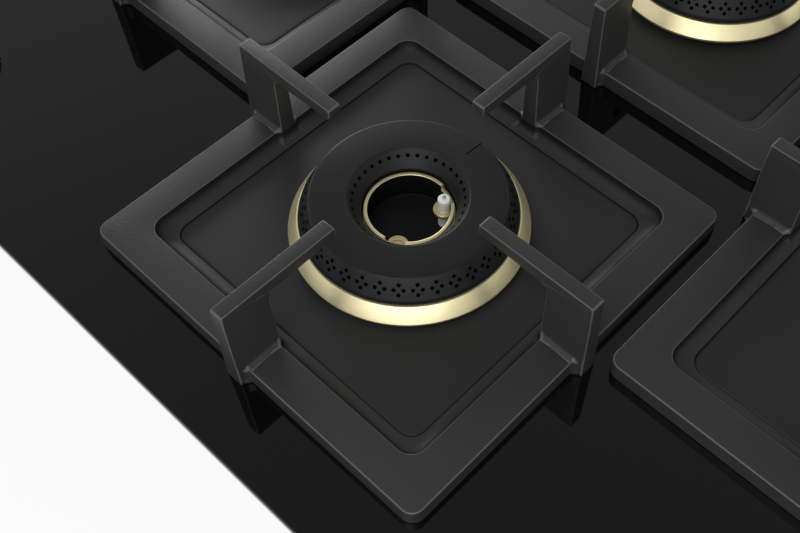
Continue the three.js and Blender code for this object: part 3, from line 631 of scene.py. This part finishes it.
boxShape = {"halfX": 350, "halfY": 235, "height": 48, "sheet": 1.2, "flange": 9, "corner": 16,
            "draft": 4, "bend": 1.6, "floorBend": 3, "innerBend": 2,
            "floorInset": 24, "floorCorner": 4}  # the loop that closes the floor


def buildBox():
    b = boxShape
    deck, sheet, floor = b["height"] - b["sheet"], b["sheet"], -b["floorInset"]
    outer = filleted([(b["flange"], b["height"], 0.0), (b["flange"], deck, 0.0), (0.0, deck, b["bend"]),
                      (-b["draft"], 0.0, b["floorBend"]), (floor, 0.0, 0.0)], 5, False)
    inner = filleted([(floor, sheet, 0.0), (-b["draft"] - sheet, sheet, b["innerBend"]),
                      (-sheet, b["height"], b["bend"]), (b["flange"], b["height"], 0.0)], 5, False)
    rows = outer + inner[:-1]
    loops = [ringLoop(b["halfX"] + p.x, b["halfY"] + p.x,
                      b["corner"] + p.x if p.x > floor / 2 else b["floorCorner"], p.y, 10) for p in rows]
    split = len(outer)
    count = len(loops[0])
    rim = (len(loops) - 1) * count
    faces = loftFaces(split, count, False)
    faces += [tuple(v + split * count for v in face) for face in loftFaces(len(loops) - split, count, False)]
    faces += [(s, (s + 1) % count, rim + (s + 1) % count, rim + s) for s in range(count)]
    faces += [tuple(range(start * count, (start + 1) * count)) for start in (split - 1, split)]
    pan = makeObject("boxPan", sum(loops, []), faces, [zincSheet], sharp=40)
    return runNodes(pan, ventTree(), {"Finish": zincSheet}, "boxSheet", 40)


# pan supports

support = {"rimHeight": 9.5, "rimWidth": 18.2, "coveWidth": 7.4, "coveDrop": 6, "edge": 0.7, "draft": 0.5,
           "corner": 6.5, "leastCorner": 0.6, "cornerZone": 5.8, "coveCorner": 8, "bottom": 0.3,
           "armHeight": 52.6, "armThick": 7.1, "armRoot": 9.3, "proud": 3.7, "lean": 0.8, "tip": 46.2,
           "web": 20, "finger": 7.4, "fingerTip": 6, "fillet": 4, "tipRound": 2, "rootFillet": 3.2,
           "toe": 4, "toeTop": 11, "toeDrop": 7.2, "toeBase": 2.4, "skin": 1.6,
           "armEdge": 0.5, "armEnd": 1.1, "shoulderEdge": 0.5, "foot": 0.3, "fall": 0.5,
           "coveDim": 3.6, "coveFade": 3.4, "roundStrip": 0.4, "convex": 8}


def rimSection(side):
    s = support
    half, top = side / 2, s["rimHeight"]
    shoulder = half - s["rimWidth"]
    foot = shoulder - s["coveWidth"]
    flat = (shoulder + 4, top, 0)  # a point on the rim's flat, short of the shoulder
    line = filleted([(foot, s["bottom"], 0), (half, s["bottom"], s["foot"]),
                     (half - s["draft"], top - s["fall"], s["edge"]), flat], 6, False)
    cove = [(foot + s["coveWidth"] * cos(a), top - s["coveDrop"] * sin(a)) for a in quarterSteps(12)]
    soft = filleted([flat, (*cove[0], s["shoulderEdge"]), (*cove[2], 0)], 4, False)
    return line[:-1] + soft[1:-1] + [Vector(p) for p in cove[3:]]


def buildRim(name, side):
    s = support
    half = side / 2
    loops = []
    for p in rimSection(side):
        inset = half - p.x
        radius = max(s["corner"] - inset, s["leastCorner"]) if inset < s["cornerZone"] else s["coveCorner"]
        loops.append(ringLoop(p.x, p.x, radius, p.y, 12))
    return markShadeAndHighlight(loft(name, loops, [castIron], sharp=50), half)


def markShadeAndHighlight(obj, half):
    # the painted cove shade mask is 1 on the steep upper wall of the cove, fading out towards its foot
    s = support
    paintedCoveShade = obj.data.attributes.new("paintedCoveShade", "FLOAT", "POINT")
    for i, vertex in enumerate(obj.data.vertices):
        x, y, z = vertex.co / mm
        inCove = max(abs(x), abs(y)) < half - s["rimWidth"] + 0.4 and z < s["rimHeight"] - 0.25
        paintedCoveShade.data[i].value = max(0.0, min(1.0, (z - s["coveDim"]) / s["coveFade"])) if inCove else 0.0
    # edge is 1 on the vertices in the middle of a rounded outward edge, which get the painted highlight
    widest = s["roundStrip"] * mm
    work = bmesh.new()
    work.from_mesh(obj.data)
    marks = []
    for vertex in work.verts:
        narrow = all(face.calc_area() < widest * max(edge.calc_length() for edge in face.edges)
                     for face in vertex.link_faces)
        bend = max((edge.calc_face_angle_signed(0.0) for edge in vertex.link_edges), default=0.0)
        marks.append(1.0 if narrow and bend > radians(s["convex"]) else 0.0)
    work.free()
    obj.data.attributes.new("edge", "FLOAT", "POINT").data.foreach_set("value", marks)
    return obj


def insetLoop(loop, depth):
    # moves a clockwise or counter-clockwise outline inwards by a depth
    sign = 1 if sum(a.x * b.y - b.x * a.y for a, b in closedPairs(loop)) > 0 else -1
    result = []
    for i, here in enumerate(loop):
        before = (here - loop[i - 1]).normalized()
        after = (loop[(i + 1) % len(loop)] - here).normalized()
        normal = Vector((-before.y - after.y, before.x + after.x)) * sign
        if normal.length < 1e-6:
            normal = Vector((-after.y, after.x)) * sign
        normal.normalize()
        slant = max(0.5, normal.dot(Vector((-after.y, after.x)) * sign))
        result.append(here + normal * (depth / slant))
    return result


def loopDistance(p, loop):
    nearest = inf
    for a, b in closedPairs(loop):
        ab = b - a
        t = max(0.0, min(1.0, (p - a).dot(ab) / max(ab.length_squared, 1e-9)))
        nearest = min(nearest, (p - a - ab * t).length)
    return nearest


def inside(p, loop):
    hit = False
    for a, b in closedPairs(loop):
        if (a.y > p.y) != (b.y > p.y) and p.x < (b.x - a.x) * (p.y - a.y) / (b.y - a.y) + a.x:
            hit = not hit
    return hit


# heights of the points on an arm's cheeks, close where the fillet to the rim curves
cheekRows = (0.8, 2, 3.5, 5, 6.5, 8, 8.9, 9.5, 9.8, 10.2, 10.7, 11.3, 12.0, 12.8, 14.5, 18, 24, 32)
backRows = (3, 6, 9, 12, 16, 28, 40)  # points up the arm's back, which leans


def buildArm(name, side):
    s = support
    half, top = side / 2, s["armHeight"]
    web, outer = half - s["web"], half + s["proud"]
    toe, back = web - s["toe"], half - s["skin"]
    rim = rimSection(side)
    corners = [(outer + s["lean"], s["bottom"], s["foot"])]
    corners += [(outer + s["lean"] * (1 - z / top), z, 0) for z in backRows]
    corners += [(outer, top, s["armEnd"]), (s["tip"], top, s["armEnd"]),
                (s["tip"], top - s["fingerTip"], s["tipRound"]), (web, top - s["finger"], s["fillet"]),
                (web, 24, 0), (web, 14, 0)]
    corners += [(toe + s["toe"] * cos(a), s["toeTop"] - s["toeDrop"] * sin(a), 0)
                for a in quarterSteps(9)]
    corners += [(toe, s["toeBase"], 0), (back, s["toeBase"], 0), (back, s["bottom"], 0)]
    outline = filleted(corners, 6)

    def halfThick(p):
        # the draft of the casting, and the fillet that runs out from the rim
        base = (s["armThick"] + (top - p.y) / top * (s["armRoot"] - s["armThick"])) / 2
        radius = s["rootFillet"]
        near = max(0.0, radius - (0.0 if inside(p, rim) else loopDistance(p, rim)))
        return base + radius - sqrt(radius * radius - near * near)

    rings = [(insetLoop(outline, inset) if inset else outline, drop)
             for inset, drop in roundedEdge(s["armEdge"], 4)]
    count, perSide = len(outline), len(rings) * len(outline)
    verts = [(p.x, sign * (halfThick(p) - drop), p.y)
             for sign in (1, -1) for loop, drop in rings for p in loop]
    cheek = loftFaces(len(rings), count, False)
    faces = [tuple(v + start for v in face) for start in (0, perSide) for face in cheek]
    faces += [(i, (i + 1) % count, perSide + (i + 1) % count, perSide + i) for i in range(count)]
    last = rings[-1][0]
    grid = []
    for i in range(int(s["web"] + s["proud"] + 6) * 2):
        for z in cheekRows:
            p = Vector((toe + i * 0.7, z))
            sparse = z > 13 and i % 4  # above the fillet every fourth will do
            if not sparse and inside(p, last) and loopDistance(p, last) > 0.35:
                grid.append(p)
    edges = [(i, (i + 1) % count) for i in range(count)]
    points, _, triangles, _, _, _ = geometry.delaunay_2d_cdt(last + grid, edges, [], 1, 1e-7)
    for sign in (1, -1):
        base = len(verts)
        verts += [(p.x, sign * halfThick(p), p.y) for p in points]
        faces += [tuple(base + i for i in triangle) for triangle in triangles]
    return markShadeAndHighlight(makeObject(name, verts, faces, [castIron], sharp=60), half)


def buildSupports():
    made = {}
    tree = armTree()
    for side in (centreSide, outerSide):
        rim, arm = buildRim("rim", side), buildArm("arm", side)
        made[side] = runNodes(arm, tree, {"Arm Count": 4, "Rim": rim, "Finish": castIron}, "support", 50)
        discard(rim)
    return made


# spill trays

tray = {"top": 3.5, "edge": 1.5, "corner": 8, "hole": 42.5, "sheet": 1.2, "bottom": 0.3, "gap": 0.1,
        "cornerSteps": 10}


def buildTray(name, side):
    reach = side / 2 - support["rimWidth"] - support["coveWidth"] - tray["gap"]

    def square(inset, z):
        return ringLoop(reach - inset, reach - inset, tray["corner"] - inset, z, tray["cornerSteps"])

    rows = [(0.0, tray["bottom"])]
    rows += [(inset, tray["top"] - drop) for inset, drop in roundedEdge(tray["edge"], 5)]
    loops = [square(inset, z) for inset, z in rows]
    rim = [(x, y, *onCircle(tray["hole"], atan2(y, x))) for x, y, z in loops[-1]]
    for share in (0.03, 0.5, 1.0):  # the plate runs in to the round hole
        loops.append([(x + (holeX - x) * share, y + (holeY - y) * share, tray["top"])
                      for x, y, holeX, holeY in rim])
    under = tray["top"] - tray["sheet"]
    loops.append([(x, y, under) for x, y, z in loops[-1]])
    loops += [square(tray["sheet"], under), square(tray["sheet"], tray["bottom"])]
    return loft(name, loops, [trayEnamel], sharp=40)


# burner: every outline is (radius, height, rounding) corners, from the glass up

burner = {
    "segments": 180, "ports": 36, "portRadius": 1, "portLength": 7, "slotAngle": 85.8,
    "skirt": [(49.6, 6.3, 0), (51.6, 6.3, 0.4), (56.9, 7.3, 0.3), (57.3, 8.9, 0.25), (52.5, 16.25, 0.35),
              (49.6, 16.25, 0)],
    "crown": [(49.6, 12.3, 0.2), (49.6, 16.6, 0.2), (52, 16.6, 0.5), (51.3, 19, 0.8), (45.8, 29, 1.3),
              (28.3, 29, 1), (22.2, 21, 0.8), (22.2, 10.3, 0.2), (24.8, 10.3, 0.2), (24.8, 20.2, 0),
              (29.6, 26.4, 0), (44.4, 26.4, 0), (47.6, 20, 0), (47, 12.3, 0)],
    "outerPorts": [(47.4, 26, 0), (48.7, 23.7, -2.55), (48.7, 23.7, 2.55), (49.9, 21.6, 0)],
    "innerPorts": [(26.1, 26.1, 0)],  # radius, height and degrees aside
    "outerStart": -0.6, "innerStart": 5.4,  # degrees of the first cluster of each
}


def buildSkirt():
    return lathe("skirt", burner["skirt"], burner["segments"], brass["front"], 5, 40)


def buildCrown():
    b = burner
    crown = lathe("crownBlank", b["crown"], b["segments"], crownEnamel, 5, 40)
    (coneFoot, coneLow, _), (coneTop, top, _), (bowlTop, _, _), (bowlFoot, bowlLow, _) = b["crown"][3:7]
    outward = pi / 2 - atan2(coneFoot - coneTop, top - coneLow)  # square to the cone
    inward = atan2(bowlTop - bowlFoot, top - bowlLow) - pi / 2  # square to the bowl
    outer = [(*port, outward) for port in b["outerPorts"]]
    inner = [(*port, inward) for port in b["innerPorts"]]
    return runNodes(crown, portTree([(b["outerStart"], outer), (b["innerStart"], inner)]), {
        "Port Count": b["ports"], "Port Radius": b["portRadius"] * mm, "Port Length": b["portLength"] * mm,
        "Slot Angle": radians(b["slotAngle"]), "Port Shade": portShade, "Finish": crownEnamel}, "crown", 35)


innerRing = {"outer": 21.2, "step": 21.6, "bore": 19.4, "foot": 15.3, "stepTop": 17.2, "top": 19.8,
             "edge": 0.3, "notches": ((67, 16.5), (-64.6, 14.3))}  # middle and half width in degrees


def buildInnerRing():
    r = innerRing
    angles = [radians(2 * i) for i in range(180)]
    for middle, halfWidth in r["notches"]:
        for cheek in (radians(middle + halfWidth), radians(middle - halfWidth)):
            angles += [cheek - 0.004, cheek + 0.004]  # the notch's side drops between these two
    loops = []
    for a in sorted(a % fullTurn for a in angles):
        notched = any(abs((degrees(a) - middle + 180) % 360 - 180) < halfWidth
                      for middle, halfWidth in r["notches"])
        top = r["stepTop"] - 0.4 if notched else r["top"]
        low = min(r["stepTop"], top - 0.3)
        section = filleted([
            (r["bore"], r["foot"], 0.1), (r["step"], r["foot"], 0.1), (r["step"], low, 0.2),
            (r["outer"], low, 0.0), (r["outer"], top, r["edge"]), (r["bore"], top, r["edge"])], 3)
        loops.append([(*onCircle(p.x, a), p.y) for p in section])
    # the bore takes the near-black well casting as painted shade on the ring's inner wall
    return loft("innerRing", loops, [brass["front"], wellShadeCasting], sharp=40, innerSlot=1)


probes = {
    "fromAxis": 16.6, "electrodeAngle": 54.7, "sensorAngle": -64.6,
    "ceramic": [(0, -41, 0), (3.05, -41, 0.3), (3.05, 22.4, 0.8), (1, 22.6, 0.2), (0, 22.6, 0)],
    "collar": [(3.1, 13.2, 0.1), (5.3, 13.2, 0.3), (5.3, 15, 0.4), (3.1, 15, 0.1)],
    "pin": [(0, 22, 0), (0.8, 22, 0), (0.8, 23.8, 0.3), (0, 23.8, 0)],
    "sensor": [(0, -41, 0), (2.4, -41, 0.2), (2.4, 10.9, 0), (5.2, 10.9, 0.3), (5.2, 12.7, 0.5),
               (2.8, 12.7, 0.3), (2.4, 12.1, 0), (0, 12.1, 0)],
}


def atProbe(obj, angle):
    return moved(obj, *onCircle(probes["fromAxis"], radians(probes[angle])), 0)


def buildElectrode():
    body = lathe("ceramicBody", probes["ceramic"], 40, ceramicGlaze, 5)
    collar = lathe("electrodeCollar", probes["collar"], 48, plainBrass)
    pin = lathe("sparkPin", probes["pin"], 20, drawnSteel)
    return atProbe(merged("electrode", [body, collar, pin]), "electrodeAngle")


def buildSensor():
    return atProbe(lathe("sensor", probes["sensor"], 48, plainBrass), "sensorAngle")


cup = {
    "segments": 120, "inletOut": 34, "inletHeight": -26,
    "body": [(0, -36, 0), (36, -36, 2), (40, -9, 4), (40, 3.8, 0.5), (52, 3.8, 0.4), (52, 6, 0.4),
             (49, 6, 0.4), (49, 12, 0.3), (46, 12, 0.3), (46, 6, 1), (37, 6, 1), (33, -33, 2), (27, -33, 2),
             (27, 10, 0.3), (21.56, 10, 0.2), (21.56, 15, 0.3), (20.4, 15, 0.3), (20.4, 4, 0.3), (0, 4, 0)],
    "inlet": [(5, 1.5, 0), (8, 1.5, 0), (8, 12, 0.6), (5, 12, 0.4)],
}


def buildCup(inletTurn):
    body = lathe("cupBody", cup["body"], cup["segments"], wellShadeCasting, 5)
    pipe = lathe("cupInlet", cup["inlet"], 40, wellShadeCasting)
    outwards = Matrix.Translation(Vector((cup["inletOut"], 0, cup["inletHeight"])) * mm)
    pipe.data.transform(Matrix.Rotation(inletTurn, 4, "Z") @ outwards @ Matrix.Rotation(pi / 2, 4, "Y"))
    return merged("cup", [body, pipe])


# knobs

knob = {"bottom": 58.8, "height": 24, "radius": 19, "top": 17.6, "grip": 6.4, "gripHeight": 5,
        "wellRadius": 16.5, "wellTop": 16.2, "wellDepth": 12, "barArc": 0.19,
        "barRows": [(-1.2, -0.8), (-0.8, 0.05), (-0.2, 0.6), (0, 1.4), (0, 4), (0.3, 4.7), (1, 5)],
        "markWidth": 1, "markFrom": 7.2, "markTo": 16, "markProud": 0.04, "markSunk": 0.02}


def buildKnob():
    # a round skirt with a raised bar across it, rounded where the cheeks run down
    k = knob
    deck = k["bottom"] + k["height"] - k["gripHeight"]
    roof = k["bottom"] + k["wellDepth"]
    outline = [(0, roof, 0), (k["wellTop"], roof, 1), (k["wellRadius"], k["bottom"], 0.3),
               (k["radius"], k["bottom"], 0.5), (k["top"] + 0.35, deck, 1.6), (0, deck, 0)]
    skirt = lathe("knobSkirt", outline, 96, knobPlastic, 6)
    halfWidth = k["grip"] / 2
    turns = [radians(-90 + 180 * i / 24) * k["barArc"] for i in range(25)]
    end = [Vector(onCircle(k["top"], a, -0.3)) for a in turns]
    end = [p for p in end if abs(p.y) <= halfWidth]
    end = [Vector((end[0].x, -halfWidth))] + end + [Vector((end[0].x, halfWidth))]
    loop = end + [Vector((-p.x, -p.y)) for p in end]
    loops = [[(p.x, p.y, deck + z) for p in insetLoop(loop, inset)] for inset, z in k["barRows"]]
    bar = loft("knobBar", loops, [knobPlastic], ring=False)
    bar.data.transform(Matrix.Rotation(pi / 2, 4, "Z"))
    halfMark = k["markWidth"] / 2
    corners = [(-halfMark, k["markFrom"]), (halfMark, k["markFrom"]),
               (halfMark, k["markTo"]), (-halfMark, k["markTo"])]
    top = deck + k["gripHeight"]
    loops = [[(x, y, top + z) for x, y in corners] for z in (-k["markSunk"], k["markProud"])]
    mark = loft("knobMark", loops, [markPaint], ring=False)
    return merged("knobShape", [skirt, bar, mark])


# gas union and gland, each a six-sided nut on a turned body

union = {"place": (150, 221.1, 14.5), "nut": 13,
         "nutRows": [(1.2, 0), (0, 0.8), (0, 6.2), (1.2, 7)],
         "body": [(0, 6, 0), (9.7, 6, 0), (9.7, 22, 0.6), (6.5, 22, 0.4), (6.5, 8, 0), (0, 8, 0)],
         "rings": 9, "ringRadius": 9.85, "ridge": 0.5, "threadStart": 8.6}
gland = {"place": (-260, 229.5, 20), "nut": 10,
         "nutRows": [(0.8, -5), (0, -4.4), (0, -0.5), (0.8, 0)],
         "body": [(4.5, -0.2, 0), (6.9, -0.2, 0), (6.9, 10, 1.2), (4.5, 10, 0.5)]}


def hexNut(name, look, phase, finish):
    hexagon = [Vector(onCircle(look["nut"], radians(60 * i + phase))) for i in range(6)]
    loops = [[(p.x, -p.y, z) for p in insetLoop(hexagon, inset)] for inset, z in look["nutRows"]]
    return loft(name, loops, [finish], ring=False, sharp=30)


def buildUnion():
    nut = hexNut("unionNut", union, 30, plainBrass)
    body = lathe("unionBody", union["body"], 64, plainBrass)
    whole = merged("unionShape", [nut, body])
    whole.data.transform(Matrix.Rotation(-pi / 2, 4, "X"))
    whole = runNodes(whole, threadTree(), {
        "Ring Count": union["rings"], "Ring Radius": union["ringRadius"] * mm, "Ridge": union["ridge"] * mm,
        "Start": (0.0, union["threadStart"] * mm, 0.0), "Finish": plainBrass}, "unionDone", 40)
    return moved(whole, *union["place"])


def buildGland():
    nut = hexNut("glandNut", gland, 0, mattPlastic)
    body = lathe("glandBody", gland["body"], 48, mattPlastic)
    whole = merged("glandShape", [nut, body])
    whole.data.transform(Matrix.Rotation(-pi / 2, 4, "X"))
    return moved(whole, *gland["place"])


# dressing the frame

def dress(piece, body, nodes):
    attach(piece, body)
    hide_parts(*nodes)


def recoat(node, finish):
    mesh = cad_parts[node].data
    mesh.materials.clear()
    mesh.materials.append(finish)


dress(buildGlass(), "hob", ["glass_top"])
dress(buildSeal(), "hob", ["glass_seal"])
dress(buildBox(), "hob", ["base_box"])
dress(buildUnion(), "hob", ["gas_inlet"])
dress(buildGland(), "hob", ["mains_gland"])
print("plate and box made")

supports = buildSupports()
print("supports made")
skirtShape, crownShape, ringShape = buildSkirt(), buildCrown(), buildInnerRing()
electrodeShape, sensorShape, knobShape = buildElectrode(), buildSensor(), buildKnob()
print("burner and knob shapes made")

for name, x, y, side, tap in stations:
    trayShape = buildTray("trayShape", side)
    cupShape = buildCup(0.0 if name in ("front", "right") else pi)
    for source, label, node, body, slot in (
            (supports[side], "panSupport_", "pan_support_", "support_" + name, "cast_iron"),
            (trayShape, "tray_", "spill_tray_", "hob", "enamel"),
            (skirtShape, "skirt_", "skirt_ring_", "hob", "brass"),
            (ringShape, "innerRing_", "inner_ring_", "hob", "brass"),
            (crownShape, "crown_", "burner_crown_", "crown_" + name, "black_cap"),
            (electrodeShape, "electrode_", "spark_electrode_", "hob", "ceramic"),
            (sensorShape, "sensor_", "thermocouple_", "hob", "brass"),
            (cupShape, "cup_", "burner_cup_", "hob", "raw_casting")):
        piece = copied(source, label + name, x, y, glassTop)
        if source in (skirtShape, ringShape):  # brushed round this burner's own axis
            piece.data.materials[0] = brass[name]
        dress(piece, body, [node + name])
    discard(trayShape)
    discard(cupShape)
    dress(copied(knobShape, "knobCap_" + name, tap, tapY), "knob_" + name, ["knob_" + name])
    recoat("feed_pipe_" + name, castAluminium)
    recoat("tap_body_" + name, castAluminium)
    recoat("tap_plug_" + name, plainBrass)
    recoat("tap_stem_" + name, drawnSteel)
recoat("gas_rail", drawnSteel)
recoat("ignition_module", mattPlastic)
for shape in (skirtShape, crownShape, ringShape, electrodeShape, sensorShape, knobShape, *supports.values()):
    discard(shape)
print("stations dressed")


# stage, light and camera

def seenRays(tree):
    # 1 for the rays that see the background straight, in a mirror or through glass
    path = addNode(tree, "ShaderNodeLightPath").outputs
    either = maths(tree, "MAXIMUM", path["Is Camera Ray"], path["Is Glossy Ray"])
    return maths(tree, "MAXIMUM", either, path["Is Transmission Ray"])


def stageFloor():
    half = 20000.0
    corners = [(-half, -half, 0), (half, -half, 0), (half, half, 0), (-half, half, 0)]
    floor = makeObject("floor", corners, [(0, 1, 2, 3)], [], recalc=False)
    finish, tree, base = startMaterial("floorWhite", Base_Color=(0.86, 0.86, 0.86, 1), Roughness=0.9,
                                       Specular_IOR_Level=0.0)
    glow = addNode(tree, "ShaderNodeEmission", {"Color": (1, 1, 1, 1), "Strength": 1.0})
    share = maths(tree, "MULTIPLY", seenRays(tree), 0.9)
    mix = addNode(tree, "ShaderNodeMixShader", {0: share, 1: base.outputs[0], 2: glow.outputs[0]})
    tree.links.new(mix.outputs[0], tree.nodes["Material Output"].inputs["Surface"])
    floor.data.materials.append(finish)


def stageWorld():
    # a pale room near the horizon under a dim ceiling; plain soft fill for matt surfaces
    world = bpy.data.worlds.new("studio")
    bpy.context.scene.world = world
    world.use_nodes = True
    tree = world.node_tree
    tree.nodes.clear()
    direction = addNode(tree, "ShaderNodeTexCoord").outputs["Generated"]
    height = addNode(tree, "ShaderNodeSeparateXYZ", {"Vector": direction}).outputs["Z"]
    ramp = addNode(tree, "ShaderNodeValToRGB", {"Fac": height})
    stops = ((0.0, 1.0), (0.36, 1.0), (0.6, 0.42), (0.67, 0.385), (0.91, 0.266), (1.0, 0.235))
    for i, (place, level) in enumerate(stops):
        stop = ramp.color_ramp.elements[i] if i < 2 else ramp.color_ramp.elements.new(place)
        stop.position = place
        stop.color = (level, level, level, 1)
    white = (1, 1, 1, 1)
    room = addNode(tree, "ShaderNodeBackground", {"Color": white, "Strength": ramp.outputs["Color"]})
    fill = addNode(tree, "ShaderNodeBackground", {"Color": white, "Strength": 0.3})
    mix = addNode(tree, "ShaderNodeMixShader", {0: seenRays(tree), 1: fill.outputs[0], 2: room.outputs[0]})
    out = addNode(tree, "ShaderNodeOutputWorld")
    tree.links.new(mix.outputs[0], out.inputs["Surface"])


def softLight(name, place, width, height, power):
    data = bpy.data.lights.new(name, "AREA")
    data.shape = "RECTANGLE"
    data.size, data.size_y, data.energy = width, height, power
    lamp = linked(name, data)
    lamp.location = place
    aim = Vector((0, -0.12, 0.06))  # the front burner
    lamp.rotation_euler = (aim - Vector(place)).to_track_quat("-Z", "Y").to_euler()


def photoCamera():
    data = bpy.data.cameras.new("photoCamera")
    data.sensor_width, data.lens = 36.0, 49.561
    data.shift_x, data.shift_y = -0.06823, 0.01733
    data.clip_start, data.clip_end = 0.02, 50
    camera = linked("photoCamera", data)
    right = (0.727866, 0.685719, 0.000684)
    up = (-0.570862, 0.605396, 0.554628)
    back = (0.379904, -0.404085, 0.832098)
    place = Vector((228.42, -333.36, 479.78)) * mm
    camera.matrix_world = Matrix((*zip(right, up, back, place), (0, 0, 0, 1)))
    bpy.context.scene.camera = camera


stageFloor()
stageWorld()
softLight("leftCard", (-0.72, 0.2, 0.285), 0.5, 0.15, 3.3)
softLight("frontCard", (0.67, -0.92, 0.4), 1.2, 0.4, 3.5)
softLight("topBox", (0.154, -0.543, 0.84), 0.4, 0.4, 2.5)
photoCamera()
bpy.context.scene.view_settings.view_transform = "Standard"
